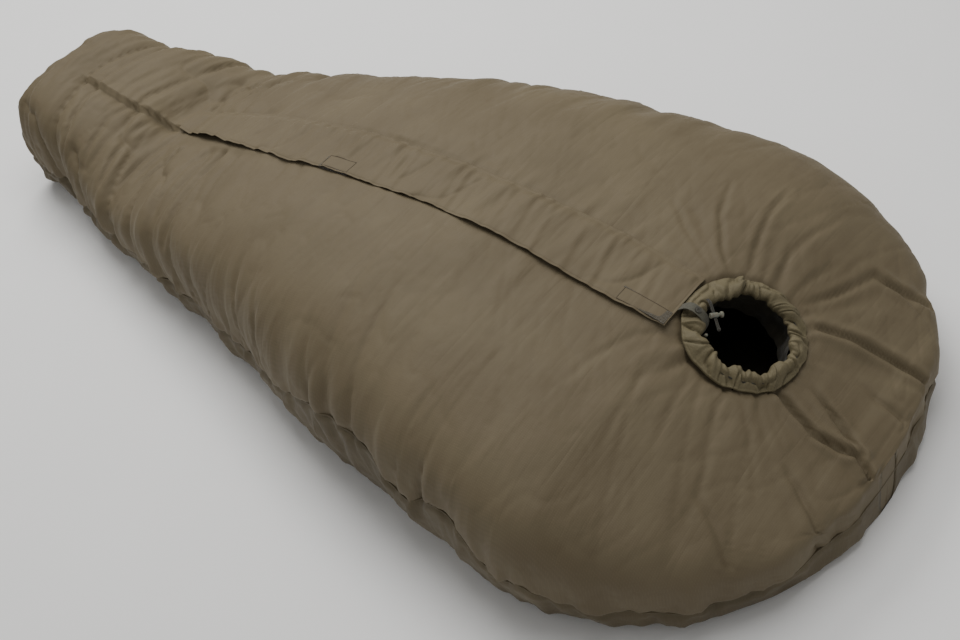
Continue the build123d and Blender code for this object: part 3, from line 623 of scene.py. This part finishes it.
# folded-in edges beside the zip
zipz = (Sg > 0.3835) & (Sg < 1.661)
edge = np.clip(1 - (np.abs(Wc) - 0.0085) / 0.0045, 0, 1) * (np.abs(Wc) > 0.004)
P1[..., 2] -= np.where(zipz, 0.0050 * edge ** 1.5, 0)
P1[..., 2] = np.maximum(P1[..., 2], 0.0006)
lx, le, ln = ring_local(P0)
rr_ = np.hypot(lx, le)
hole = (rr_ < 0.097) & (P0[..., 2] > 0.15)
# pull the edge of the hole down under the channel
P1 += RN * (-0.006 * np.clip((0.108 - rr_) / 0.011, 0, 1) * ((rr_ < 0.108) & (P0[..., 2] > 0.15)))[..., None]
V = P1.reshape(-1, 3)
# the head and foot ends are closed with a fan
F = grid_faces(NS, NC, close_c=True)
fc = F.reshape(-1, 4)
cx_ = lambda arr: arr.reshape(-1)[fc].mean(1)
f_hole = hole.reshape(-1)[fc].any(1)
f_zip = ((np.abs(Wc.reshape(-1)[fc]) < 0.0086).all(1)) & (zipz.reshape(-1)[fc].all(1))
seam_g = np.where(P0[..., 0] < 0, np.interp(Sg, SEAM_S, SEAM_N), np.interp(Sg, SEAM_S, SEAM_F))
f_top = cx_(P0[..., 2] - seam_g) > 0
keep_top = f_top & ~f_hole & ~f_zip
keep_base = ~f_top
vt, ft_ = part_of(V, fc, keep_top)
# outward facing
if np.cross(V[fc[0, 1]] - V[fc[0, 0]], V[fc[0, 2]] - V[fc[0, 0]]).dot(N0.reshape(-1, 3)[fc[0, 0]]) < 0:
    flip = True
else:
    flip = False


def oriented(f):
    return f[:, ::-1] if flip else f


upper = new_object("outer_shell_upper", vt, oriented(ft_), M["shell"])
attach(upper, "root")
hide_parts("upper_shell_left", "upper_shell_right", "foot_shell", "hood_shell_left", "hood_shell_right", "hood_crown_panel")
vb, fb = part_of(V, fc, keep_base)
# the lower part takes the darker base nylon, which carries painted shade
base = new_object("outer_shell_base", vb, oriented(fb), M["base"])
# the base mesh passes through bmesh unchanged
bm = bmesh.new()
bm.from_mesh(base.data)
bm.free()
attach(base, "root")
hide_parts("base_shell")


def end_cap(j):
    """Cushioned end wall that closes the surface at one end."""
    ring = P1[j]
    c = ring.mean(0)
    n = len(ring)
    ks = [1.0, 0.85, 0.65, 0.42, 0.2]
    yo = (-1 if j == 0 else 1) * 0.0012
    vs = [c + (ring - c) * k + np.array([0, yo * (1 - k * k), 0]) for k in ks]
    v = np.concatenate(vs + [c[None] + np.array([[0, yo, 0]])])
    f = grid_faces(len(ks), n, close_c=True).tolist()
    last = (len(ks) - 1) * n
    f += [[last + i, last + (i + 1) % n, len(v) - 1] for i in range(n)]
    return v, f


for nm, j in (("outer_shell_head_end", 0), ("outer_shell_foot_end", NS - 1)):
    v, f = end_cap(j)
    o = new_object(nm, v, f, M["shell"])
    bm = bmesh.new(); bm.from_mesh(o.data)
    bmesh.ops.recalc_face_normals(bm, faces=bm.faces)
    bm.faces.ensure_lookup_table()
    if (sum(q.normal.y * q.calc_area() for q in bm.faces) > 0) == (j == 0):
        bmesh.ops.reverse_faces(bm, faces=bm.faces)
    bm.to_mesh(o.data); bm.free()
    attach(o, "root")


# seam cord along the side seam, where the gathers meet
def tube(path, radius, sides=8, closed=False, radii=None):
    path = np.asarray(path, float)
    n = len(path)
    tg = (np.roll(path, -1, 0) - np.roll(path, 1, 0)) if closed else np.gradient(path, axis=0)
    tg /= np.linalg.norm(tg, axis=1, keepdims=True)
    ref = np.array([0, 0, 1.0])
    a = np.cross(tg, ref); a /= np.maximum(np.linalg.norm(a, axis=1, keepdims=True), 1e-9)
    b = np.cross(a, tg)
    th = np.linspace(0, 2 * math.pi, sides, endpoint=False)
    rad = np.full(n, radius) if radii is None else radii
    v = path[:, None] + rad[:, None, None] * (np.cos(th)[None, :, None] * a[:, None] + np.sin(th)[None, :, None] * b[:, None])
    f = grid_faces(n, sides, close_r=closed, close_c=True).tolist()
    v = v.reshape(-1, 3)
    if not closed:
        v = np.concatenate([v, path[:1], path[-1:]])
        m_ = len(v)
        f += [[i, (i + 1) % sides, m_ - 2][::-1] for i in range(sides)]
        f += [[(n - 1) * sides + i, (n - 1) * sides + (i + 1) % sides, m_ - 1] for i in range(sides)]
    return v, f


def surface_at_z(j, side, zt):
    """Point of the finished surface at level zt on one side of station j."""
    half = P1[j, :NH] if side > 0 else P1[j, NH - 1:][::-1]
    b0 = P0[j, :NH] if side > 0 else P0[j, NH - 1:][::-1]
    idx = np.arange(NB, NH)
    z = b0[idx, 2]
    i = int(np.searchsorted(z, zt))
    i = min(max(i, 1), len(idx) - 1)
    t = (zt - z[i - 1]) / max(z[i] - z[i - 1], 1e-9)
    t = min(max(t, 0), 1)
    return half[idx[i - 1]] * (1 - t) + half[idx[i]] * t


loop = []
js = [j for j in range(2, NS - 2)]
for side, order in ((-1, js), (1, js[::-1])):
    for j in order:
        zt = float(np.interp(S[j], SEAM_S, SEAM_N if side < 0 else SEAM_F))
        loop.append(surface_at_z(j, side, zt))
loop = np.array(loop)
keep = [0]
for i in range(1, len(loop)):
    if np.linalg.norm(loop[i] - loop[keep[-1]]) > 0.006:
        keep.append(i)
loop = loop[keep]
for _ in range(2):
    loop = 0.5 * loop + 0.25 * (np.roll(loop, 1, 0) + np.roll(loop, -1, 0))
v, f = tube(loop, 0.0017, 7, closed=True)
# the piping takes the darker base nylon, so it carries the same painted shade
o = new_object("side_seam_piping", v, f, M["base"])
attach(o, "root")

# ---------------------------------------------------------------- face channel
NP, NQ = 460, 56
ph = np.linspace(0, 2 * math.pi, NP, endpoint=False)
cp, sp_ = np.cos(ph), np.sin(ph)
# slightly longer along one diagonal
stretch = 1 + 0.040 * np.cos(2 * (ph - math.radians(-42)))
rin = 0.0735 * stretch + 0.0050 * (noise(cp * 2.6, sp_ * 2.6, 103) - 0.5) * 2 + 0.0052 * (noise(cp * 8, sp_ * 8, 101) - 0.5) * 2
rout = 0.1092 * (1 + 0.028 * np.cos(2 * (ph - math.radians(-42)))) + 0.0030 * (noise(cp * 5, sp_ * 5, 105) - 0.5) * 2


def surf_n(x, e):
    """Height of the plain surface in the opening's frame, over x and e."""
    y = RC[1] + e * math.cos(TB)
    s = y + L / 2
    for _ in range(3):
        z = ridge(s)
        n = (z - RC[2] - e * math.sin(TB)) / math.cos(TB)
        s = RC[1] + e * math.cos(TB) - n * math.sin(TB) + L / 2
    return n


th = np.linspace(0, 2 * math.pi, NQ, endpoint=False)
mid = (rin + rout) / 2
hw = (rout - rin) / 2
PH, TH = np.meshgrid(ph, th, indexing="ij")
so = np.stack([surf_n(rout * cp, rout * sp_)], 0)[0]
ct, st_ = np.cos(TH), np.sin(TH)
r = mid[:, None] + hw[:, None] * np.sign(ct) * np.abs(ct) ** 0.85
puff = 0.0125 * (0.85 + 0.30 * noise(cp * 3.5, sp_ * 3.5, 107))[:, None]
low = 0.0085
wr0 = np.clip((r - rin[:, None]) / (rout - rin)[:, None], 0, 1)
n = np.where(st_ > 0, puff * (1 - 0.62 * smooth(wr0, 0.30, 1.0)) * np.abs(st_) ** 0.7, -low * np.abs(st_) ** 0.8)
# the outer edge is sewn to the shell, the inner one stands free
k_out = smooth(r, mid[:, None] - hw[:, None] * 0.2, rout[:, None])
n = n + (so[:, None] + 0.0005) * k_out + (surf_n(rin * cp, rin * sp_) * 0.35 + 0.0015)[:, None] * (1 - k_out)
lim = np.clip(st_, 0, 1)
wr = (r - rin[:, None]) / (rout - rin)[:, None]
sk = 0.75 * (noise(cp * 3, sp_ * 3, 109) - 0.5)[:, None] * wr            # creases lean a little
phs = PH + sk
c2, s2 = np.cos(phs), np.sin(phs)
f1 = noise(c2 * 6.5, s2 * 6.5, 111)
f2 = noise(c2 * 13, s2 * 13, 113)
f3 = (1 - np.abs(2 * noise(c2 * 5.2, s2 * 5.2, 115, wr * 0.8) - 1)) ** 9
disp = (0.0120 * (f1 - 0.5) + 0.0070 * (f2 - 0.5) - 0.0085 * f3) * (0.35 + 0.65 * lim) * (0.55 + 0.45 * np.sin(np.clip(wr, 0, 1) * math.pi))
disp += 0.0016 * (noise(c2 * 26, s2 * 26, 117, wr * 2) - 0.5) * lim
disp -= 0.0008 * np.exp(-((wr - 0.93) / 0.03) ** 2) * lim                 # stitch line inside the outer edge
n = n + disp
r = r + 0.7 * disp * ct
Pc = ring_xyz(r * np.cos(PH), r * np.sin(PH), n)
o = new_object("face_channel_fabric", Pc.reshape(-1, 3), grid_faces(NP, NQ, True, True), M["channel"])
bm = bmesh.new(); bm.from_mesh(o.data); bmesh.ops.recalc_face_normals(bm, faces=bm.faces); bm.to_mesh(o.data); bm.free()
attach(o, "root")
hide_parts("face_channel")

# ------------------------------------------------------------------- the flap
FS0, FS1 = 0.3755, 1.668
def flap_rows():
    a = FS0 + np.r_[0, 0.001, 0.0025, 0.0042, 0.0058, 0.0066, 0.0074, 0.009, 0.011]
    b = np.arange(FS0 + 0.0135, FS1 - 0.012, 0.0032)
    c = FS1 - np.r_[0.011, 0.009, 0.0074, 0.0066, 0.0058, 0.0042, 0.0025, 0.001, 0]
    return np.r_[a, b, c]


fs = flap_rows()
u = np.r_[0, 0.012, 0.026, 0.04, 0.052, 0.064, 0.08, np.linspace(0.11, 0.89, 26), 0.915, 0.935, 0.95, 0.960, 0.966, 0.972, 0.98, 0.992, 1.0]
XF = np.interp(fs, [0.373, 0.47, 0.609, 0.726, 0.856, 0.965, 1.077, 1.163, 1.26, 1.34, 1.416, 1.47, 1.54, 1.668],
               [-.0700, -.0760, -.0740, -.0670, -.0640, -.0670, -.0690, -.0660, -.0670, -.0610, -.0555, -.0500, -.0380, -.0190])
XF = XF + 0.0022 * (noise(fs / 0.060, fs * 0, 201) - 0.5) * 2 * smooth(fs, 0.40, 0.46)
XS = 0.0585 + 0.0020 * (noise(fs / 0.045, fs * 0, 203) - 0.5) * 2
SF, U = np.meshgrid(fs, u, indexing="ij")
X = XS[:, None] + (XF - XS)[:, None] * U
W_ = (XS - XF)[:, None]
dist_sew, dist_free = (U * W_), ((1 - U) * W_)
hgt = 0.0004 + 0.0060 * smooth(dist_sew, 0.0, 0.022)
hgt = hgt - 0.0012 * smooth(0.012 - dist_free, 0, 0.012)
rip = 0.0070 * (noise((SF + 0.15 * X) / 0.0125, X / 0.16, 211) - 0.5) * np.exp(-(dist_sew / 0.040) ** 1.2)
rip += 0.0050 * (noise((SF + 0.25 * X) / 0.024, X / 0.14, 213) - 0.5) * smooth(dist_sew, 0.004, 0.02)
rip += 0.0034 * (noise((SF - 0.20 * X) / 0.0115, X / 0.10, 214) - 0.5) * smooth(dist_sew, 0.004, 0.02)
rip += 0.0042 * (noise(SF / 0.021, X / 0.20, 215) - 0.5) * np.exp(-(dist_free / 0.028) ** 1.3)
rip += 0.0040 * (noise(SF / 0.075, X / 0.20, 217) - 0.5)
rip -= 0.0032 * ridged((SF + 0.35 * X) / 0.055, X / 0.11, 219, 6.0) * smooth(dist_sew, 0.006, 0.03) * smooth(noise(SF / 0.15, X / 0.2, 220), 0.35, 0.65)
wave = 0.0016 * np.clip(noise(SF / 0.085, SF * 0, 221) - 0.42, 0, None) * 2 * np.exp(-(dist_free / 0.030) ** 1.5) * smooth(SF, 0.42, 0.52)
wave += 0.007 * smooth(SF, 1.26, 1.50) * np.exp(-(dist_free / 0.030) ** 1.5) * (0.4 + 0.9 * noise(SF / 0.06, SF * 0, 223)) * (1 - smooth(SF, 1.58, 1.62))
flat1 = smooth(SF, 0.371, 0.378) * (1 - smooth(SF, 0.468, 0.476)) * smooth(dist_free, 0.003, 0.006) * (1 - smooth(dist_free, 0.031, 0.036))
flat2 = smooth(SF, 1.084, 1.090) * (1 - smooth(SF, 1.160, 1.166)) * smooth(dist_free, 0.002, 0.005) * (1 - smooth(dist_free, 0.033, 0.038))
calm = 1 - 0.75 * np.maximum(flat1, flat2)
hgt = hgt + (rip * smooth(SF, FS0 - 0.01, FS0 + 0.03) + wave) * calm
dist_end = SF - FS0
hem = np.minimum(dist_free, np.minimum(dist_end, FS1 - SF))
hgt = hgt + 0.0005 * (1 - smooth(hem, 0.0036, 0.0048)) - 0.0008 * np.exp(-((hem - 0.0042) / 0.0008) ** 2)
hgt -= 0.0010 * np.exp(-((dist_sew - 0.0055) / 0.0012) ** 2)
hgt -= 0.0035 * smooth(0.02 - dist_end, 0, 0.02) * 0.5
# the plain surface drops away a little from the ridge
ax_ = pchip(SF, SS, AA)
uu = np.clip(np.abs(X) / ax_, 0, 1) ** (1 / 0.58)
drop = (arc_z(SF) - SEAM_Z) * (1 - np.sqrt(1 - uu ** 2) ** 0.58)
phi = np.arcsin((SF - ARC_S) / ARC_R)
rr2 = ARC_R + np.maximum(hgt, 0.0006) - drop + (ridge(SF) - arc_z(SF))
top = np.stack([X, ARC_S - L / 2 + rr2 * np.sin(phi), ARC_Z + rr2 * np.cos(phi)], -1)
rr3 = rr2 - 0.0018 * (0.25 + 0.75 * smooth(np.minimum(hem, dist_sew), 0, 0.004))
bot = np.stack([X, ARC_S - L / 2 + rr3 * np.sin(phi), ARC_Z + rr3 * np.cos(phi)], -1)
nr, nc = X.shape
vtx = np.concatenate([top.reshape(-1, 3), bot.reshape(-1, 3)])
ff = grid_faces(nr, nc).tolist()
off = nr * nc
ff2 = [[a + off for a in q[::-1]] for q in ff]
rim = [i for i in range(nc)] + [i * nc + nc - 1 for i in range(1, nr)] + [(nr - 1) * nc + i for i in range(nc - 2, -1, -1)] + [i * nc for i in range(nr - 2, 0, -1)]
ff3 = [[rim[i], rim[(i + 1) % len(rim)], rim[(i + 1) % len(rim)] + off, rim[i] + off] for i in range(len(rim))]
flap = new_object("storm_flap_cloth", vtx, ff + ff2 + ff3, M["shell"])
bm = bmesh.new(); bm.from_mesh(flap.data); bmesh.ops.recalc_face_normals(bm, faces=bm.faces); bm.to_mesh(flap.data); bm.free()
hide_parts("storm_flap", "storm_flap_top")
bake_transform(flap)


def on_flap(s, x, lift=0.0):
    """Point on the flap's top face."""
    i = np.interp(s, fs, np.arange(nr)); xs = XS + (XF - XS) * 1.0
    a = np.interp(s, fs, XS); b = np.interp(s, fs, XF)
    uu_ = (x - a) / (b - a)
    i0 = int(np.clip(math.floor(i), 0, nr - 2)); t = i - i0
    j = np.interp(uu_, u, np.arange(nc)); j0 = int(np.clip(math.floor(j), 0, nc - 2)); q = j - j0
    p = (top[i0, j0] * (1 - t) * (1 - q) + top[i0 + 1, j0] * t * (1 - q) + top[i0, j0 + 1] * (1 - t) * q + top[i0 + 1, j0 + 1] * t * q)
    return p + np.array([0, 0, lift])


def stitch_loop(name, corners, body, step=0.0035):
    pts = []
    for i in range(4):
        a, b = corners[i], corners[(i + 1) % 4]
        n_ = max(2, int(math.hypot(b[0] - a[0], b[1] - a[1]) / step))
        for k in range(n_):
            t = k / n_
            pts.append(on_flap(a[0] + (b[0] - a[0]) * t, a[1] + (b[1] - a[1]) * t, 0.0002))
    v, f = tube(np.array(pts), 0.0006, 6, closed=True)
    o = new_object(name, v, f, M["thread"])
    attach(o, body)


stitch_loop("stitching_top_patch", [(0.3788, -0.0415), (0.469, -0.0430), (0.469, -0.0715), (0.3788, -0.0665)], "flap_top")
stitch_loop("stitching_lower_patch", [(1.090, -0.0325), (1.160, -0.0320), (1.160, -0.0610), (1.090, -0.0625)], "root")

# ------------------------------------------------------- lining, collar, baffle
def inner_surface(name, side, top_, base_, s0, s1, mat, nodes, amp=1.0, seed=300, ns=190, nc_=150, hole_r=0.096):
    s = np.linspace(s0, s1, ns)
    a = pchip(s, SS, AA); h = ridge(s)
    out = []
    for si, ai, hi in zip(s, a, h):
        x, z = half_section(ai, hi, 1)
        ds = np.r_[0, np.cumsum(np.hypot(np.diff(x), np.diff(z)))]
        pos = np.linspace(0, ds[-1], nc_)
        x, z = np.interp(pos, ds, x), np.interp(pos, ds, z)
        x = x * (ai - side) / ai
        z = base_ + z * (hi - top_ - base_) / hi
        out.append(np.stack([np.r_[x, -x[::-1][1:-1]], np.full(2 * nc_ - 2, si - L / 2), np.r_[z, z[::-1][1:-1]]], -1))
    P = np.array(out)
    N = normals_of(P)
    if N[ns // 2, nc_, 2] < 0:
        N = -N
    x, y, z = P[..., 0], P[..., 1], P[..., 2]
    d = 0.012 * (fbm(x / 0.16, y / 0.16, seed, 2, z / 0.16) - 0.75) + 0.006 * (noise(y / 0.03, x / 0.25, seed + 3, z / 0.3) - 0.9)
    P = P + N * (np.minimum(d, 0) * amp)[..., None]
    lx, le, ln = ring_local(P)
    hole_ = (np.hypot(lx, le) < hole_r) & (ln > -0.14) & (P[..., 2] > 0.12)
    F = grid_faces(ns, P.shape[1], close_c=True)
    kp = ~hole_.reshape(-1)[F].any(1)
    v, f = part_of(P.reshape(-1, 3), F, kp)
    f = f.tolist()
    o = new_object(name, v, f, mat)
    bm = bmesh.new(); bm.from_mesh(o.data)
    bmesh.ops.holes_fill(bm, edges=[e for e in bm.edges if e.is_boundary and all(abs(q.co.y - (s0 - L / 2)) < 1e-6 or abs(q.co.y - (s1 - L / 2)) < 1e-6 for q in e.verts)])
    bmesh.ops.recalc_face_normals(bm, faces=bm.faces)
    bm.to_mesh(o.data); bm.free()
    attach(o, "root")
    if nodes:
        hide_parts(*nodes)
    return o


lining = inner_surface("lining_inside", 0.0536, 0.0576, 0.0406, 0.056, 2.044, M["lining"],
                       ["lining_base", "lining_upper_left", "lining_upper_right", "lining_hood", "lining_foot"])

# filling between the outer fabric and the lining, one lofted layer
def filling():
    js = [j for j in range(NS) if 0.012 < S[j] < L - 0.012][::2]
    cs = list(range(0, NC, 2))
    dm = D0.copy()
    for _ in range(3):
        pad = np.pad(dm, ((1, 1), (0, 0)), mode="edge")
        dm = np.minimum(np.minimum(pad[:-2], pad[1:-1]), pad[2:])
        dm = np.minimum(np.minimum(np.roll(dm, 1, 1), dm), np.roll(dm, -1, 1))
    for _ in range(2):
        pad = np.pad(dm, ((1, 1), (0, 0)), mode="edge")
        dm = (pad[:-2] + 2 * pad[1:-1] + pad[2:]) / 4
        dm = (np.roll(dm, 1, 1) + 2 * dm + np.roll(dm, -1, 1)) / 4
    po = (P0 + N0 * (dm - 0.0085)[..., None])[np.ix_(js, cs)]
    # keep the outer face just above the floor
    po[..., 2] = np.maximum(po[..., 2], 0.004)
    sj = S[js]
    inner = []
    for j in js:
        a, h = max(A_[j], 0.062), max(H_[j], 0.13)
        kx = max((a - 0.0520) / a, 0.05)
        kz = max((h - 0.0560 - 0.0390) / h, 0.05)
        q = P0[j, cs]
        inner.append(np.stack([q[:, 0] * kx, q[:, 1], 0.0390 + q[:, 2] * kz], -1))
    pi = np.array(inner)
    # the inner face stops short of the ends by the end filling's thickness
    y0, y1 = 0.052 - L / 2, L - 0.052 - L / 2
    pi[..., 1] = np.clip(pi[..., 1], y0, y1)
    lx, le, ln = ring_local(P0[np.ix_(js, cs)])
    cut = (np.hypot(lx, le) < 0.104) & (P0[np.ix_(js, cs)][..., 2] > 0.15)
    lx, le, ln = ring_local(pi)
    cut |= (np.hypot(lx, le) < 0.101) & (P0[np.ix_(js, cs)][..., 2] > 0.15)
    wz = np.abs(Wc[np.ix_(js, cs)])
    sz = Sg[np.ix_(js, cs)]
    cut |= (wz < 0.0165) & (sz > 0.3835) & (sz < 1.664)
    nr_, nc_ = len(js), len(cs)
    F_ = grid_faces(nr_, nc_, close_c=True)
    kp = ~cut.reshape(-1)[F_].any(1)
    fo = F_[kp]
    n_ = nr_ * nc_
    faces = fo.tolist() + [[a + n_ for a in q[::-1]] for q in fo.tolist()]
    # walls round the open edges
    cnt = {}
    for q in fo.tolist():
        for i in range(4):
            e_ = (q[i], q[(i + 1) % 4])
            cnt[e_] = cnt.get(e_, 0) + 1
    for (a, b_), c in list(cnt.items()):
        if (b_, a) not in cnt:
            faces.append([b_, a, a + n_, b_ + n_])
    v = np.concatenate([po.reshape(-1, 3), pi.reshape(-1, 3)])
    o = new_object("insulation_fill", v, faces, M["batting"])
    bm = bmesh.new(); bm.from_mesh(o.data)
    bmesh.ops.delete(bm, geom=[q for q in bm.verts if not q.link_faces], context="VERTS")
    bmesh.ops.recalc_face_normals(bm, faces=bm.faces); bm.to_mesh(o.data); bm.free()
    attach(o, "root")
    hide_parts("insulation_base", "insulation_upper_left", "insulation_upper_right", "insulation_hood", "insulation_foot")
    return o


filling()

# sleeve of lining from the channel down into the hood
NPs, NK = 220, 26
phs_ = np.linspace(0, 2 * math.pi, NPs, endpoint=False)
kk = np.linspace(0, 1, NK)
PHs, KK = np.meshgrid(phs_, kk, indexing="ij")
rsl = 0.0790 + 0.0060 * np.sin(KK * 3.0) + 0.0095 * (noise(np.cos(PHs) * 3.5, np.sin(PHs) * 3.5, 331, KK * 2) - 0.5) + 0.005 * (noise(np.cos(PHs) * 8, np.sin(PHs) * 8, 333, KK * 1.5) - 0.5)
rsl = rsl + 0.006 * KK ** 3
nsl = -0.004 - 0.070 * KK
Ps = ring_xyz(rsl * np.cos(PHs), rsl * np.sin(PHs), nsl)
o = new_object("lining_sleeve", Ps.reshape(-1, 3), grid_faces(NPs, NK, True, False), M["lining"])
bm = bmesh.new(); bm.from_mesh(o.data); bmesh.ops.recalc_face_normals(bm, faces=bm.faces)
bmesh.ops.reverse_faces(bm, faces=bm.faces); bm.to_mesh(o.data); bm.free()
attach(o, "root")

# draft collar: a filled roll round the inside, with its own gathers
sc = 0.491
ac, hc = float(pchip(sc, SS, AA)), float(ridge(sc))
x, z = half_section(ac, hc, 1)
ds = np.r_[0, np.cumsum(np.hypot(np.diff(x), np.diff(z)))]
NR = 170
pos = np.linspace(0, ds[-1] - 0.024, NR)
x, z = np.interp(pos, ds, x), np.interp(pos, ds, z)
kx, kz = (ac - 0.056) / ac, (hc - 0.060 - 0.042) / hc
px = np.r_[x[::-1], -x[1:]] * kx
pz = 0.043 + np.r_[z[::-1], z[1:]] * kz
cen = np.stack([px, np.full(len(px), sc - L / 2), pz], -1)
tg = np.gradient(cen, axis=0); tg /= np.linalg.norm(tg, axis=1, keepdims=True)
inw = np.cross(np.array([0, 1.0, 0]), tg)
mid_ = np.array([0, sc - L / 2, 0.16])
sg = np.sign(((mid_ - cen) * inw).sum(1)); inw *= sg[:, None]
bottom = np.exp(-((pz - 0.043) / 0.03) ** 2)
rad = (0.0185 - 0.011 * bottom) * (1 + 0.16 * (noise(np.arange(len(px)) / 3.2, np.zeros(len(px)), 341) - 0.5) * 2)
endc = np.minimum(np.arange(len(px)), np.arange(len(px))[::-1]) / 4.0
rad = rad * np.sqrt(np.clip(endc, 0.02, 1) * (2 - np.clip(endc, 0.02, 1)))
cen2 = cen + inw * (rad * 1.05)[:, None]
thc = np.linspace(0, 2 * math.pi, 22, endpoint=False)
Pcol = cen2[:, None] + rad[:, None, None] * (np.cos(thc)[None, :, None] * inw[:, None] + 0.98 * np.sin(thc)[None, :, None] * np.array([0, 1.0, 0])[None, None])
o = new_object("draft_collar_roll", Pcol.reshape(-1, 3), grid_faces(len(px), 22, False, True), M["collar"])
bm = bmesh.new(); bm.from_mesh(o.data)
bmesh.ops.holes_fill(bm, edges=[e for e in bm.edges if e.is_boundary])
bmesh.ops.recalc_face_normals(bm, faces=bm.faces); bm.to_mesh(o.data); bm.free()
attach(o, "root"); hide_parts("draft_collar")

# draft tube under the zip
sd = np.linspace(0.388, 1.661, 330)
phd = np.arcsin((sd - ARC_S) / ARC_R)
tht = np.linspace(0, 2 * math.pi, 28, endpoint=False)
endd = np.clip(np.minimum(sd - 0.388, 1.661 - sd) / 0.014, 0.03, 1)
kd = np.sqrt(endd * (2 - endd))
wn = (noise(sd / 0.022, sd * 0, 351) - 0.5)
Rx = 0.0142 * kd * (1 + 0.06 * wn); Rz = 0.0142 * kd * (1 + 0.10 * wn)
ctt, stt = np.cos(tht), np.sin(tht)
xx = Rx[:, None] * np.sign(ctt) * np.abs(ctt) ** 0.8
rr4 = ARC_R - 0.0545 + Rz[:, None] * np.sign(stt) * np.abs(stt) ** 0.8
Pd = np.stack([xx, ARC_S - L / 2 + rr4 * np.sin(phd)[:, None], ARC_Z + rr4 * np.cos(phd)[:, None]], -1)
o = new_object("draft_tube_roll", Pd.reshape(-1, 3), grid_faces(len(sd), 28, False, True), M["collar"])
bm = bmesh.new(); bm.from_mesh(o.data)
bmesh.ops.holes_fill(bm, edges=[e for e in bm.edges if e.is_boundary])
bmesh.ops.recalc_face_normals(bm, faces=bm.faces); bm.to_mesh(o.data); bm.free()
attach(o, "root"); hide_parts("draft_tube")

# --------------------------------------------------------- CAD pieces' finishes
finish = {"insulation": "batting", "zip_tape": "tape", "zip_coil": "coil", "zip_top": "zinc", "zip_bottom": "zinc", "zip_slider": "zinc",
          "zip_pull": "zinc", "flap_hook": "hook", "shell_loop": "hook", "face_drawcord": "cord", "cord_stop": "plastic",
          "face_lock_body": "plastic", "face_lock_button": "plastic", "face_lock_spring": "steel", "snap_tab": "webbing",
          "snap_cap": "snap", "snap_stud": "snap"}
for name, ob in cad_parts.items():
    for k_, m_ in finish.items():
        if name.startswith(k_):
            ob.data.materials.clear()
            ob.data.materials.append(M[m_])

# ------------------------------------------------------------ floor and light
me = bpy.data.meshes.new("floor")
nfl = 40
g1 = np.linspace(-9, 9, nfl)
gx, gy = np.meshgrid(g1, g1, indexing="ij")
me.from_pydata(np.stack([gx, gy, np.full(gx.shape, -0.0005)], -1).reshape(-1, 3).tolist(), [], grid_faces(nfl, nfl, flip=True).tolist())
fl = bpy.data.objects.new("floor", me)
me.materials.append(M["floor"])
bpy.context.scene.collection.objects.link(fl)


def area(name, loc, target, size, power, col=(1, 1, 1)):
    ld = bpy.data.lights.new(name, "AREA")
    ld.shape = "RECTANGLE"; ld.size, ld.size_y = size
    ld.energy = power; ld.color = col
    lo = bpy.data.objects.new(name, ld)
    lo.location = loc
    dv = Vector(target) - Vector(loc)
    lo.rotation_euler = dv.to_track_quat("-Z", "Y").to_euler()
    bpy.context.scene.collection.objects.link(lo)


area("key", (1.3, 2.3, 3.2), (0, 0, 0.1), (2.2, 2.0), 98, (1.0, 0.99, 0.97))
area("top", (0.4, -0.3, 3.6), (0, -0.1, 0.1), (2.6, 2.2), 60, (1.0, 0.99, 0.97))
w = bpy.data.worlds.new("world")
w.use_nodes = True
w.node_tree.nodes["Background"].inputs[0].default_value = (0.84, 0.84, 0.84, 1)
w.node_tree.nodes["Background"].inputs[1].default_value = 0.42
bpy.context.scene.world = w
